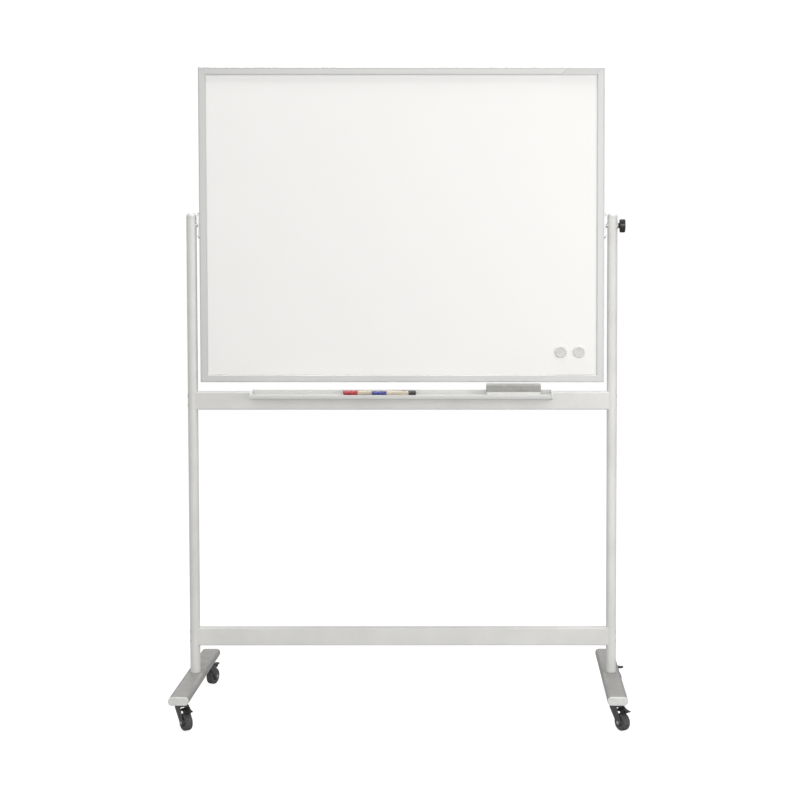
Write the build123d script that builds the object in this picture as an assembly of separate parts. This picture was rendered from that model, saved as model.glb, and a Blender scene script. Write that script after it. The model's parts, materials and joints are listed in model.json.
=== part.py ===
from build123d import *
import os
from math import asin, degrees

# A rolling, revolving whiteboard, in millimetres. +Z is up, -Y is the side the writer stands on,
# and the floor is z = 0. Every piece is drawn about the stand's own mid-plane, x = 0. One parked
# caster reaches further on the +X side, so everything is shifted by FOOTPRINT_SHIFT as it is
# written: the origin is then on the floor at the centre of the whole object's box.
FOOTPRINT_SHIFT = -14.0

# Columns, with their rails and feet
COLUMN_X = 628.0
COLUMN_R = 15.0
COLUMN_WALL = 2.0
COLUMN_TOP = 1474.0
COLUMN_CAP_HEIGHT = 16.0
COLUMN_INNER_R = COLUMN_R - COLUMN_WALL

RAIL_DEPTH = 25.0
RAIL_HEIGHT = 55.0
RAIL_CORNER_R = 5.0
RAIL_WALL = 2.0
UPPER_RAIL_Z = 928.5
LOWER_RAIL_Z = 214.5
RAIL_INSERT_LENGTH = 42.0
RAIL_BOLT_R = 3.0
RAIL_BOLT_HEAD_R = 6.0
RAIL_BOLT_HEAD_DEPTH = 3.3
RAIL_BOLT_LENGTH = 58.0
RAIL_BOLT_RISE = 14.0

FOOT_BOTTOM = 80.0
FOOT_HEIGHT = 25.0
FOOT_TOP = FOOT_BOTTOM + FOOT_HEIGHT
FOOT_WIDTH = 58.0
FOOT_LENGTH = 550.0
FOOT_CORNER_R = 11.0
FOOT_WALL = 2.5
FOOT_CAP_THICKNESS = 3.0
FOOT_CAP_PLUG = 14.0
FOOT_BOLT_R = 4.0
FOOT_BOLT_HEAD_R = 7.0
FOOT_BOLT_HEAD = 4.5
FOOT_INSERT_HEIGHT = 34.0

# Pen tray, an extruded channel screwed to the front of the upper rail
TRAY_LENGTH = 890.0
TRAY_FLOOR_Z = 946.0
TRAY_FLOOR_THICKNESS = 1.8
TRAY_FLANGE_THICKNESS = 1.8
TRAY_FLANGE_BOTTOM = 932.0
TRAY_FLANGE_TOP = 962.0
TRAY_BACK_Y = -RAIL_DEPTH / 2
TRAY_FRONT_Y = -72.2
TRAY_LIP_THICKNESS = 2.2
TRAY_LIP_BOTTOM = 940.0
TRAY_LIP_TOP = 951.0
TRAY_CAP_THICKNESS = 3.0
TRAY_SCREW_X = (-400.0, -140.0, 140.0, 400.0)
TRAY_SCREW_Z = 938.2
TRAY_SCREW_R = 2.0
TRAY_SCREW_HEAD_R = 3.8
TRAY_SCREW_HEAD = 2.4
TRAY_SCREW_LENGTH = 10.0

# Board: two steel sheets on a core, held in a mitred frame
BOARD_WIDTH = 1206.0
BOARD_HEIGHT = 936.0
BOARD_THICKNESS = 22.0
PIVOT_Z = 1452.0
SHEET_THICKNESS = 0.6
PANEL_THICKNESS = 14.0
FRAME_FACE = 23.0
FRAME_EDGE_R = 2.0
FRAME_SLOT_FLOOR = 11.0
PANEL_PLAY = 0.5
CHAMBER_NEAR = 1.8
CHAMBER_FAR = 9.2
CHAMBER_WIDTH = 18.4
CORNER_KEY_LEG = 42.0
CORNER_KEY_PLAY = 0.2
LABEL_BOTTOM_LEFT = 470.0
LABEL_LENGTH = 107.0
LABEL_MARGIN = 1.5
LABEL_THICKNESS = 0.8

# Board pivots, on the side rails of the frame
PIVOT_PLATE_HEIGHT = 77.0
PIVOT_PLATE_WIDTH = 19.0
PIVOT_PLATE_THICKNESS = 4.0
PIVOT_PLATE_CORNER_R = 5.0
PIVOT_SCREW_RISE = 31.0
PIVOT_SCREW_R = 2.5
PIVOT_SCREW_HEAD_R = 4.6
PIVOT_SCREW_HEAD = 2.5
PIVOT_SCREW_LENGTH = 12.0
PIVOT_BLOCK_HEIGHT = 92.0
PIN_R = 4.5
PIN_END = COLUMN_X + 8.0
SPACER_R = 7.0
STUD_R = 5.0
STUD_END = COLUMN_X + 32.5
BUSH_R = 7.0
BUSH_FLANGE_R = 10.0
BUSH_FLANGE = 1.2
BUSH_FACE = COLUMN_X - COLUMN_R - 0.4
SHAFT_CLEARANCE = 0.05

# Clamp knob on the +X stud
KNOB_START = COLUMN_X + COLUMN_R + BUSH_FLANGE + 0.3
KNOB_HEAD_START = COLUMN_X + 21.0
KNOB_END = COLUMN_X + 38.0
KNOB_HUB_R = 8.0
KNOB_R = 21.0
KNOB_LOBES = 5
KNOB_SCALLOP_R = 9.5
KNOB_SCALLOP_CENTRE = 25.5
KNOB_EDGE_R = 2.0

# Casters, one under each end of each foot. Each is drawn with its swivel axis at x = y = 0,
# trailing towards +X, then turned to its parked heading, in degrees.
CASTER_Y = 225.0
CASTER_PLACES = {
    "front_left": (-1, -1, -52.0),
    "front_right": (1, -1, -55.0),
    "back_left": (-1, 1, 68.0),
    "back_right": (1, 1, 0.0),
}
TRAIL = 26.0
WHEEL_R = 25.0
WHEEL_WIDTH = 21.0
TYRE_INNER_R = 17.0
TYRE_SHOULDER_R = 4.5
HUB_WIDTH = 25.4
HUB_BOSS_R = 7.0
AXLE_R = 3.0
AXLE_HEAD_R = 5.5
AXLE_HEAD = 3.0
FORK_GAP = 26.0
FORK_SHEET = 2.5
FORK_EYE_R = 8.5
CROWN_BOTTOM = 66.5
CROWN_TOP = 69.0
CROWN_FRONT = -17.0
CROWN_BACK = 18.0
RACE_TOP = 75.7
KING_PIN_R = 4.0
KING_PIN_HEAD_R = 7.0
KING_PIN_HEAD = 3.4
STEM_FLANGE_R = 18.0
STEM_FLANGE = 4.0
STEM_R = 5.0
STEM_TOP = 98.0
STEM_NUT_HEIGHT = 8.0
STEM_NUT_ACROSS_FLATS = 16.0
PEDAL_PIVOT = (21.0, 60.5)
PEDAL_PIN_R = 2.5
PEDAL_BOSS_R = 4.5
PEDAL_REACH = 36.0
PEDAL_WIDTH = 22.0
PEDAL_TIP_WIDTH = 13.0
PEDAL_TAPER_START = 14.0
PEDAL_THICKNESS = 4.0
PEDAL_DROOP = 4.0
PEDAL_SHOE = (8.0, 21.0, -7.5, 18.0)

# Things kept on the board and in its tray
MARKER_LENGTH = 108.0
MARKER_R = 7.0
MARKER_CAP_LENGTH = 43.0
MARKER_CAP_END_WALL = 3.0
MARKER_NECK_R = 5.9
MARKER_NECK_LENGTH = 13.0
MARKER_NOSE_LENGTH = 9.0
MARKER_NIB_R = 2.2
MARKER_NIB_LENGTH = 7.0
MARKER_GAP = 0.3
# name: centre x, centre y, and the side its cap is on
MARKER_PLACES = {
    "red": (-121.0, -25.0, -1),
    "black": (-12.5, -25.0, 1),
    "blue": (-34.0, -40.5, -1),
}
ERASER_X = 332.0
ERASER_Y = -41.2
ERASER_LENGTH = 162.0
ERASER_DEPTH = 52.0
ERASER_BODY_BOTTOM = 960.0
ERASER_TOP = 981.0
ERASER_CORNER_R = 4.0
FELT_INSET = 2.0
MAGNET_R = 17.0
MAGNET_THICKNESS = 7.3
MAGNET_EDGE_R = 2.0
MAGNET_Z = 1074.0
MAGNET_X = {"left": 474.0, "right": 529.0}


def rod(start, end, radius):
    """A round bar from one point to another."""
    along = Vector(*end) - Vector(*start)
    return extrude(Plane(origin=start, z_dir=along) * Circle(radius), along.length)


def along_x(section, start, end):
    """A section drawn in (y, z), extruded from x = start to x = end."""
    return extrude(Plane.YZ.offset(start) * section, end - start, dir=(1, 0, 0))


def along_y(section, start, end):
    """A section drawn in (x, z), extruded from y = start to y = end."""
    return extrude(Plane.XZ.offset(-start) * section, end - start, dir=(0, 1, 0))


def along_z(section, start, end):
    """A section drawn in (x, y), extruded from z = start to z = end."""
    return extrude(Plane.XY.offset(start) * section, end - start, dir=(0, 0, 1))


def rectangle(low_u, high_u, low_v, high_v, radius=0.0):
    """A rectangle between two corners, with rounded corners if a radius is given."""
    centre = Pos((low_u + high_u) / 2, (low_v + high_v) / 2)
    width, height = high_u - low_u, high_v - low_v
    if radius:
        return centre * RectangleRounded(width, height, radius)
    return centre * Rectangle(width, height)


def turned(points):
    """A solid turned about the z axis from an outline of (radius, z) points."""
    return revolve(Plane.XZ * Polygon(*points, align=None), Axis.Z)


def group(solids):
    """Several separate pieces that share one node."""
    return Compound(list(solids))


# The stand


def countersunk_bolt(side, height):
    """A flat-headed bolt let into the outer side of a column, pointing at the mid-plane."""
    outline = [
        (0, 0),
        (RAIL_BOLT_HEAD_R, 0),
        (RAIL_BOLT_R, -RAIL_BOLT_HEAD_DEPTH),
        (RAIL_BOLT_R, -RAIL_BOLT_LENGTH),
        (0, -RAIL_BOLT_LENGTH),
    ]
    head = Plane(origin=(side * (COLUMN_X + COLUMN_R), 0, height), z_dir=(side, 0, 0))
    return head * turned(outline)


def rail_bolts(side):
    """The four bolts that hold one end of both rails to a column."""
    rises = (-RAIL_BOLT_RISE, RAIL_BOLT_RISE)
    return [countersunk_bolt(side, z + rise) for z in (UPPER_RAIL_Z, LOWER_RAIL_Z) for rise in rises]


def column_core(side, radius):
    """A column's full-length cylinder at one radius, used for the tube and to cope the rails."""
    return rod((side * COLUMN_X, 0, FOOT_TOP), (side * COLUMN_X, 0, COLUMN_TOP), radius)


def column(side):
    tube = column_core(side, COLUMN_R) - column_core(side, COLUMN_INNER_R)
    bush_reach = STUD_END if side > 0 else COLUMN_X
    bush_hole = rod((side * BUSH_FACE, 0, PIVOT_Z), (side * bush_reach, 0, PIVOT_Z), BUSH_R)
    tube -= bush_hole
    for bolt in rail_bolts(side):
        tube -= bolt
    return tube


def column_cap(side):
    """A domed plastic cap with a plug that fills the top of the tube."""
    skirt = COLUMN_TOP + 4
    plug = COLUMN_TOP - 12
    outline = Polyline(
        (0, COLUMN_TOP + COLUMN_CAP_HEIGHT),
        (0, plug),
        (COLUMN_INNER_R, plug),
        (COLUMN_INNER_R, COLUMN_TOP),
        (COLUMN_R, COLUMN_TOP),
        (COLUMN_R, skirt),
    )
    rise = COLUMN_CAP_HEIGHT - 4
    dome_r = (COLUMN_R**2 + rise**2) / (2 * rise)
    rim_angle = degrees(asin((dome_r - rise) / dome_r))
    dome = CenterArc((0, skirt + rise - dome_r), dome_r, rim_angle, 90 - rim_angle)
    half_section = Plane.XZ * make_face(outline + dome)
    return Pos(side * COLUMN_X, 0, 0) * revolve(half_section, Axis.Z)


def rail(height, cuts=()):
    """A rectangular tube between the columns, its ends coped to them."""
    half_depth, half_height = RAIL_DEPTH / 2, RAIL_HEIGHT / 2
    low, high = height - half_height, height + half_height
    outside = rectangle(-half_depth, half_depth, low, high, RAIL_CORNER_R)
    inside = rectangle(
        -half_depth + RAIL_WALL,
        half_depth - RAIL_WALL,
        low + RAIL_WALL,
        high - RAIL_WALL,
        RAIL_CORNER_R - RAIL_WALL,
    )
    tube = along_x(outside - inside, -COLUMN_X, COLUMN_X)
    for side in (-1, 1):
        tube -= column_core(side, COLUMN_R)
    for cut in cuts:
        tube -= cut
    return tube


def rail_insert(side, height):
    """The block inside a rail's end that its two bolts screw into, coped like the rail."""
    half_depth = RAIL_DEPTH / 2 - RAIL_WALL
    half_height = RAIL_HEIGHT / 2 - RAIL_WALL
    section = rectangle(-half_depth, half_depth, height - half_height, height + half_height, 3)
    near, far = sorted((side * COLUMN_X, side * (COLUMN_X - COLUMN_R - RAIL_INSERT_LENGTH)))
    block = along_x(section, near, far) - column_core(side, COLUMN_R)
    for bolt in rail_bolts(side):
        block -= bolt
    return block


def foot_insert(side):
    """The threaded plug in a column's lower end."""
    x = side * COLUMN_X
    plug = rod((x, 0, FOOT_TOP), (x, 0, FOOT_TOP + FOOT_INSERT_HEIGHT), COLUMN_INNER_R)
    return plug - foot_bolt(side)


def foot_bolt(side):
    """The bolt that comes up through a foot into its column."""
    outline = [
        (0, FOOT_BOTTOM - FOOT_BOLT_HEAD),
        (FOOT_BOLT_HEAD_R - 1.5, FOOT_BOTTOM - FOOT_BOLT_HEAD),
        (FOOT_BOLT_HEAD_R, FOOT_BOTTOM - FOOT_BOLT_HEAD / 2),
        (FOOT_BOLT_HEAD_R, FOOT_BOTTOM),
        (FOOT_BOLT_R, FOOT_BOTTOM),
        (FOOT_BOLT_R, FOOT_TOP + FOOT_INSERT_HEIGHT - 6),
        (0, FOOT_TOP + FOOT_INSERT_HEIGHT - 6),
    ]
    return Pos(side * COLUMN_X, 0, 0) * turned(outline)


def foot_section(inset):
    """A foot's cross-section, drawn in (x, z) about its own centre, drawn in by inset."""
    width = FOOT_WIDTH - 2 * inset
    height = FOOT_HEIGHT - 2 * inset
    return Pos(0, FOOT_BOTTOM + FOOT_HEIGHT / 2) * RectangleRounded(width, height, FOOT_CORNER_R - inset)


def foot(side):
    """A flat-sided oval tube, drilled for the column's bolt and the two caster stems."""
    half = FOOT_LENGTH / 2
    tube = along_y(foot_section(0) - foot_section(FOOT_WALL), -half, half)
    tube = Pos(side * COLUMN_X, 0, 0) * tube - foot_bolt(side)
    for end in (-1, 1):
        centre = (side * COLUMN_X, end * CASTER_Y)
        tube -= rod((*centre, FOOT_BOTTOM), (*centre, FOOT_BOTTOM + FOOT_WALL), STEM_R)
    return tube


def foot_end_cap(side, end):
    """A plastic cover over a foot's open end, with a hollow plug inside the tube."""
    half = FOOT_LENGTH / 2
    cover = along_y(foot_section(0), half, half + FOOT_CAP_THICKNESS)
    outer_rim = cover.edges().group_by(Axis.Y)[-1]
    cover = fillet(outer_rim, FOOT_CAP_THICKNESS - 1)
    plug = along_y(foot_section(FOOT_WALL) - foot_section(FOOT_WALL + 2), half - FOOT_CAP_PLUG, half)
    turn = 0 if end > 0 else 180
    return Pos(side * COLUMN_X, 0, 0) * Rot(0, 0, turn) * (cover + plug)


# The pen tray


def tray_screw(x):
    """A pan-headed screw under the tray, into the front of the upper rail."""
    face = TRAY_BACK_Y - TRAY_FLANGE_THICKNESS
    outline = [
        (0, TRAY_SCREW_HEAD),
        (TRAY_SCREW_HEAD_R - 1.2, TRAY_SCREW_HEAD),
        (TRAY_SCREW_HEAD_R, TRAY_SCREW_HEAD / 2),
        (TRAY_SCREW_HEAD_R, 0),
        (TRAY_SCREW_R, 0),
        (TRAY_SCREW_R, -TRAY_SCREW_LENGTH),
        (0, -TRAY_SCREW_LENGTH),
    ]
    return Plane(origin=(x, face, TRAY_SCREW_Z), z_dir=(0, -1, 0)) * turned(outline)


def pen_tray(screws):
    """One extrusion: a back flange on the rail, a floor, and a bead along the front."""
    flange_front = TRAY_BACK_Y - TRAY_FLANGE_THICKNESS
    floor_bottom = TRAY_FLOOR_Z - TRAY_FLOOR_THICKNESS
    flange = rectangle(flange_front, TRAY_BACK_Y, TRAY_FLANGE_BOTTOM, TRAY_FLANGE_TOP, 0.85)
    floor = rectangle(TRAY_FRONT_Y + 1, TRAY_BACK_Y - 1, floor_bottom, TRAY_FLOOR_Z)
    lip_back = TRAY_FRONT_Y + TRAY_LIP_THICKNESS
    lip = rectangle(TRAY_FRONT_Y, lip_back, TRAY_LIP_BOTTOM, TRAY_LIP_TOP, 1.05)
    tray = along_x(flange + floor + lip, -TRAY_LENGTH / 2, TRAY_LENGTH / 2)
    for screw in screws:
        tray -= screw
    return tray


def tray_end_cap(side):
    """A plastic cheek that closes the tray's end, with a tab under the tray's floor."""
    cheek = fillet(
        Polygon(
            (TRAY_BACK_Y, TRAY_FLANGE_BOTTOM),
            (TRAY_BACK_Y, TRAY_FLANGE_TOP + 1),
            (TRAY_BACK_Y - 8, TRAY_FLANGE_TOP + 1),
            (TRAY_FRONT_Y - 1, TRAY_LIP_TOP + 1),
            (TRAY_FRONT_Y - 1, TRAY_LIP_BOTTOM - 1),
            (TRAY_BACK_Y - 8, TRAY_FLANGE_BOTTOM),
            align=None,
        ).vertices(),
        2.5,
    )
    tab = rectangle(TRAY_FRONT_Y + 12, TRAY_FRONT_Y + 32, 941, TRAY_FLOOR_Z - TRAY_FLOOR_THICKNESS)
    end = side * TRAY_LENGTH / 2
    plate = along_x(cheek, *sorted((end, end + side * TRAY_CAP_THICKNESS)))
    return plate + along_x(tab, *sorted((end, end - side * 12)))


# The pivots between the stand and the board


def pivot_bushes():
    """The left bush is blind and takes the plain pin; the right one passes the clamp stud."""
    left = rod((-COLUMN_X - 10, 0, PIVOT_Z), (-BUSH_FACE, 0, PIVOT_Z), BUSH_R)
    left -= rod((-COLUMN_X - 10, 0, PIVOT_Z), (-BUSH_FACE, 0, PIVOT_Z), PIN_R + SHAFT_CLEARANCE)
    outer = COLUMN_X + COLUMN_R
    right = rod((BUSH_FACE, 0, PIVOT_Z), (outer, 0, PIVOT_Z), BUSH_R)
    right += rod((outer, 0, PIVOT_Z), (outer + BUSH_FLANGE, 0, PIVOT_Z), BUSH_FLANGE_R)
    right -= rod((BUSH_FACE, 0, PIVOT_Z), (outer + BUSH_FLANGE, 0, PIVOT_Z), STUD_R + SHAFT_CLEARANCE)
    return group([left, right])


def pivot_screw(side, rise):
    """A pan-headed screw through a pivot plate and the frame into the block behind it."""
    outline = [
        (0, PIVOT_SCREW_HEAD),
        (PIVOT_SCREW_HEAD_R - 1.5, PIVOT_SCREW_HEAD),
        (PIVOT_SCREW_HEAD_R, PIVOT_SCREW_HEAD / 3),
        (PIVOT_SCREW_HEAD_R, 0),
        (PIVOT_SCREW_R, 0),
        (PIVOT_SCREW_R, -PIVOT_SCREW_LENGTH),
        (0, -PIVOT_SCREW_LENGTH),
    ]
    x = side * (BOARD_WIDTH / 2 + PIVOT_PLATE_THICKNESS)
    return Plane(origin=(x, 0, PIVOT_Z + rise), z_dir=(side, 0, 0)) * turned(outline)


def pivot_screws(side):
    return [pivot_screw(side, rise) for rise in (-PIVOT_SCREW_RISE, PIVOT_SCREW_RISE)]


def pivot_plate(side):
    """The plate on the board's edge with its welded pin, or its spacer and clamp stud."""
    face = BOARD_WIDTH / 2
    back = face + PIVOT_PLATE_THICKNESS
    blank = RectangleRounded(PIVOT_PLATE_WIDTH, PIVOT_PLATE_HEIGHT, PIVOT_PLATE_CORNER_R)
    plate = along_x(Pos(0, PIVOT_Z) * blank, *sorted((side * face, side * back)))
    if side < 0:
        plate += rod((-back, 0, PIVOT_Z), (-PIN_END, 0, PIVOT_Z), PIN_R)
    else:
        spacer_end = BUSH_FACE - 0.3
        plate += rod((back, 0, PIVOT_Z), (spacer_end, 0, PIVOT_Z), SPACER_R)
        plate += rod((spacer_end, 0, PIVOT_Z), (STUD_END, 0, PIVOT_Z), STUD_R)
    for screw in pivot_screws(side):
        plate -= screw
    return plate


def pivot_block(side):
    """The steel block inside the frame's side rail that the pivot screws pull against."""
    near = BOARD_WIDTH / 2 - CHAMBER_FAR
    far = BOARD_WIDTH / 2 - CHAMBER_NEAR
    section = Pos(0, PIVOT_Z) * Rectangle(CHAMBER_WIDTH - 0.4, PIVOT_BLOCK_HEIGHT)
    block = along_x(section, *sorted((side * near, side * far)))
    for screw in pivot_screws(side):
        block -= screw
    return block


def clamp_knob():
    """A star knob with a round hub, screwed on the clamp stud."""
    scallops = PolarLocations(KNOB_SCALLOP_CENTRE, KNOB_LOBES, start_angle=90)
    star = Circle(KNOB_R) - [place * Circle(KNOB_SCALLOP_R) for place in scallops]
    star = fillet(star.vertices(), 3)
    head = extrude(star, KNOB_END - KNOB_HEAD_START)
    rims = head.edges().group_by(Axis.Z)
    head = fillet(rims[0] + rims[-1], KNOB_EDGE_R)
    head = Plane(origin=(KNOB_HEAD_START, 0, PIVOT_Z), x_dir=(0, 1, 0), z_dir=(1, 0, 0)) * head
    hub = rod((KNOB_START, 0, PIVOT_Z), (KNOB_HEAD_START + 1, 0, PIVOT_Z), KNOB_HUB_R)
    thread = rod((KNOB_START, 0, PIVOT_Z), (STUD_END + 1, 0, PIVOT_Z), STUD_R + SHAFT_CLEARANCE)
    return head + hub - thread


# The board


def frame_section():
    """The frame extrusion, drawn in (y, z) with its outer face at z = 0.

    It has a closed chamber near the outer face and a slot that grips the panel."""
    half = BOARD_THICKNESS / 2
    outside = rectangle(-half, half, -FRAME_FACE, 0, FRAME_EDGE_R)
    chamber = rectangle(-CHAMBER_WIDTH / 2, CHAMBER_WIDTH / 2, -CHAMBER_FAR, -CHAMBER_NEAR)
    slot = rectangle(-PANEL_THICKNESS / 2, PANEL_THICKNESS / 2, -FRAME_FACE - 1, -FRAME_SLOT_FLOOR)
    return outside - chamber - slot


def frame_rail(length):
    """A length of the frame with both ends mitred, its outer face at z = 0."""
    half = length / 2
    mitre = Polygon(
        (-half, 0),
        (half, 0),
        (half - FRAME_FACE, -FRAME_FACE),
        (-half + FRAME_FACE, -FRAME_FACE),
        align=None,
    )
    blank = along_x(frame_section(), -half, half)
    return blank & along_y(mitre, -BOARD_THICKNESS / 2, BOARD_THICKNESS / 2)


def frame_side(side):
    """A side rail of the frame, drilled for its pivot screws."""
    post = Pos(side * BOARD_WIDTH / 2, 0, PIVOT_Z) * Rot(0, side * 90, 0) * frame_rail(BOARD_HEIGHT)
    for screw in pivot_screws(side):
        post -= screw
    return post


def corner_key(side_x, side_z):
    """An L-shaped angle inside two mitred rails, its legs in their chambers."""
    near = CHAMBER_NEAR + CORNER_KEY_PLAY
    far = CHAMBER_FAR - CORNER_KEY_PLAY
    outline = Polygon(
        (-near, -near),
        (-near, -CORNER_KEY_LEG),
        (-far, -CORNER_KEY_LEG),
        (-far, -far),
        (-CORNER_KEY_LEG, -far),
        (-CORNER_KEY_LEG, -near),
        align=None,
    )
    half = CHAMBER_WIDTH / 2 - CORNER_KEY_PLAY
    key = along_y(outline, -half, half)
    turn = {(1, 1): 0, (1, -1): 90, (-1, -1): 180, (-1, 1): 270}[side_x, side_z]
    corner = Pos(side_x * BOARD_WIDTH / 2, 0, PIVOT_Z + side_z * BOARD_HEIGHT / 2)
    return corner * Rot(0, turn, 0) * key


def panel_layer(near, far):
    """One layer of the panel, between two depths."""
    edge = FRAME_SLOT_FLOOR + PANEL_PLAY
    section = Pos(0, PIVOT_Z) * Rectangle(BOARD_WIDTH - 2 * edge, BOARD_HEIGHT - 2 * edge)
    return along_y(section, near, far)


def label_plate():
    """A plain slanted plate on the front of the top rail, ending along the mitre."""
    top = PIVOT_Z + BOARD_HEIGHT / 2 - LABEL_MARGIN
    bottom = PIVOT_Z + BOARD_HEIGHT / 2 - FRAME_FACE + LABEL_MARGIN
    lean = top - bottom
    left, right = LABEL_BOTTOM_LEFT, LABEL_BOTTOM_LEFT + LABEL_LENGTH
    outline = Polygon((left, bottom), (right, bottom), (right + lean, top), (left + lean, top), align=None)
    front = -BOARD_THICKNESS / 2
    return along_y(outline, front - LABEL_THICKNESS, front)


def board_parts():
    half_panel = PANEL_THICKNESS / 2
    sheet_back = half_panel - SHEET_THICKNESS
    keys = [corner_key(side_x, side_z) for side_x in (-1, 1) for side_z in (-1, 1)]
    return {
        "front_sheet": panel_layer(-half_panel, -sheet_back),
        "board_core": panel_layer(-sheet_back, sheet_back),
        "back_sheet": panel_layer(sheet_back, half_panel),
        "frame_top": Pos(0, 0, PIVOT_Z + BOARD_HEIGHT / 2) * frame_rail(BOARD_WIDTH),
        "frame_bottom": Pos(0, 0, PIVOT_Z - BOARD_HEIGHT / 2) * Rot(0, 180, 0) * frame_rail(BOARD_WIDTH),
        "frame_left": frame_side(-1),
        "frame_right": frame_side(1),
        "corner_keys": group(keys),
        "label_plate": label_plate(),
        "left_pivot_plate": pivot_plate(-1),
        "right_pivot_plate": pivot_plate(1),
        "pivot_plate_screws": group(pivot_screws(-1) + pivot_screws(1)),
        "pivot_blocks": group([pivot_block(-1), pivot_block(1)]),
    }


def stand_parts():
    screws = [tray_screw(x) for x in TRAY_SCREW_X]
    inserts = [rail_insert(side, z) for side in (-1, 1) for z in (UPPER_RAIL_Z, LOWER_RAIL_Z)]
    inserts += [foot_insert(-1), foot_insert(1)]
    end_caps = [foot_end_cap(side, end) for side in (-1, 1) for end in (-1, 1)]
    stems = [piece for place in CASTER_PLACES.values() for piece in caster_stem(*place)]
    return {
        "left_column": column(-1),
        "right_column": column(1),
        "column_caps": group([column_cap(-1), column_cap(1)]),
        "upper_rail": rail(UPPER_RAIL_Z, screws),
        "lower_rail": rail(LOWER_RAIL_Z),
        "rail_bolts": group(rail_bolts(-1) + rail_bolts(1)),
        "frame_inserts": group(inserts),
        "left_foot": foot(-1),
        "right_foot": foot(1),
        "foot_end_caps": group(end_caps),
        "foot_bolts": group([foot_bolt(-1), foot_bolt(1)]),
        "pen_tray": pen_tray(screws),
        "tray_end_caps": group([tray_end_cap(-1), tray_end_cap(1)]),
        "tray_screws": group(screws),
        "pivot_bushes": pivot_bushes(),
        "caster_stems": group(stems),
    }


# The casters


def caster_stem(side_x, side_y, heading):
    """The threaded stem with its upper race and riveted king pin, and the nut inside the foot."""
    flange_bottom = FOOT_BOTTOM - STEM_FLANGE
    head_top = CROWN_BOTTOM - 0.3
    stem = turned(
        [
            (0, head_top - KING_PIN_HEAD),
            (KING_PIN_HEAD_R - 1.5, head_top - KING_PIN_HEAD),
            (KING_PIN_HEAD_R, head_top - 1.5),
            (KING_PIN_HEAD_R, head_top),
            (KING_PIN_R, head_top),
            (KING_PIN_R, flange_bottom),
            (STEM_FLANGE_R - 1.5, flange_bottom),
            (STEM_FLANGE_R, flange_bottom + 1.5),
            (STEM_FLANGE_R, FOOT_BOTTOM),
            (STEM_R, FOOT_BOTTOM),
            (STEM_R, STEM_TOP),
            (0, STEM_TOP),
        ]
    )
    nut_bottom = FOOT_BOTTOM + FOOT_WALL
    hexagon = RegularPolygon(STEM_NUT_ACROSS_FLATS / 2, 6, major_radius=False) - Circle(STEM_R)
    nut = along_z(hexagon, nut_bottom, nut_bottom + STEM_NUT_HEIGHT)
    place = Pos(side_x * COLUMN_X, side_y * CASTER_Y, 0) * Rot(0, 0, heading)
    return [place * stem, place * nut]


def caster_fork():
    """A pressed fork: the crown with its ball-race dish, and two cheeks down to the axle."""
    half_gap = FORK_GAP / 2
    outer = half_gap + FORK_SHEET
    crown = along_z(rectangle(CROWN_FRONT, CROWN_BACK, -outer, outer, 4), CROWN_BOTTOM, CROWN_TOP)
    top_edge = rectangle(CROWN_FRONT + 4, CROWN_BACK, CROWN_TOP - 8, CROWN_TOP)
    eye = Pos(TRAIL, WHEEL_R) * Circle(FORK_EYE_R)
    cheek = make_hull((top_edge + eye).edges())
    cheeks = along_y(cheek, -outer, outer) - along_y(cheek, -half_gap, half_gap)
    dish = turned([(0, CROWN_TOP), (16.5, CROWN_TOP), (16.5, CROWN_TOP + 3), (13, RACE_TOP), (0, RACE_TOP)])
    fork = crown + cheeks + dish
    fork -= rod((0, 0, CROWN_BOTTOM), (0, 0, RACE_TOP), KING_PIN_R + SHAFT_CLEARANCE)
    fork -= rod((TRAIL, -outer, WHEEL_R), (TRAIL, outer, WHEEL_R), AXLE_R)
    pin_x, pin_z = PEDAL_PIVOT
    return fork - rod((pin_x, -outer, pin_z), (pin_x, outer, pin_z), PEDAL_PIN_R + SHAFT_CLEARANCE)


def caster_axle():
    """The wheel's bolt, headed outside one cheek and with its nut outside the other."""
    outer = FORK_GAP / 2 + FORK_SHEET
    outline = [
        (0, -outer - AXLE_HEAD),
        (AXLE_HEAD_R - 1, -outer - AXLE_HEAD),
        (AXLE_HEAD_R, -outer - AXLE_HEAD + 1),
        (AXLE_HEAD_R, -outer),
        (AXLE_R, -outer),
        (AXLE_R, outer),
        (AXLE_HEAD_R, outer),
        (AXLE_HEAD_R, outer + AXLE_HEAD - 1),
        (AXLE_HEAD_R - 1, outer + AXLE_HEAD),
        (0, outer + AXLE_HEAD),
    ]
    return Plane(origin=(TRAIL, 0, WHEEL_R), z_dir=(0, 1, 0)) * turned(outline)


def caster_tyre():
    half = WHEEL_WIDTH / 2
    blank = rectangle(TYRE_INNER_R, WHEEL_R, -half, half)
    section = fillet(blank.vertices().group_by(Axis.X)[-1], TYRE_SHOULDER_R)
    ring = revolve(Plane.XZ * section, Axis.Z)
    return Plane(origin=(TRAIL, 0, WHEEL_R), z_dir=(0, 1, 0)) * ring


def caster_hub():
    """The wheel's centre: a boss that runs on the axle, a thin web and the rim under the tyre."""
    half_boss, half_rim, half_web = HUB_WIDTH / 2, WHEEL_WIDTH / 2 - 1, 3.0
    half_outline = [
        (AXLE_R + SHAFT_CLEARANCE, half_boss),
        (HUB_BOSS_R, half_boss),
        (HUB_BOSS_R + 1, half_web),
        (TYRE_INNER_R - 3, half_web),
        (TYRE_INNER_R - 2, half_rim),
        (TYRE_INNER_R, half_rim),
    ]
    mirrored = [(radius, -depth) for radius, depth in reversed(half_outline)]
    return Plane(origin=(TRAIL, 0, WHEEL_R), z_dir=(0, 1, 0)) * turned(half_outline + mirrored)


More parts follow.
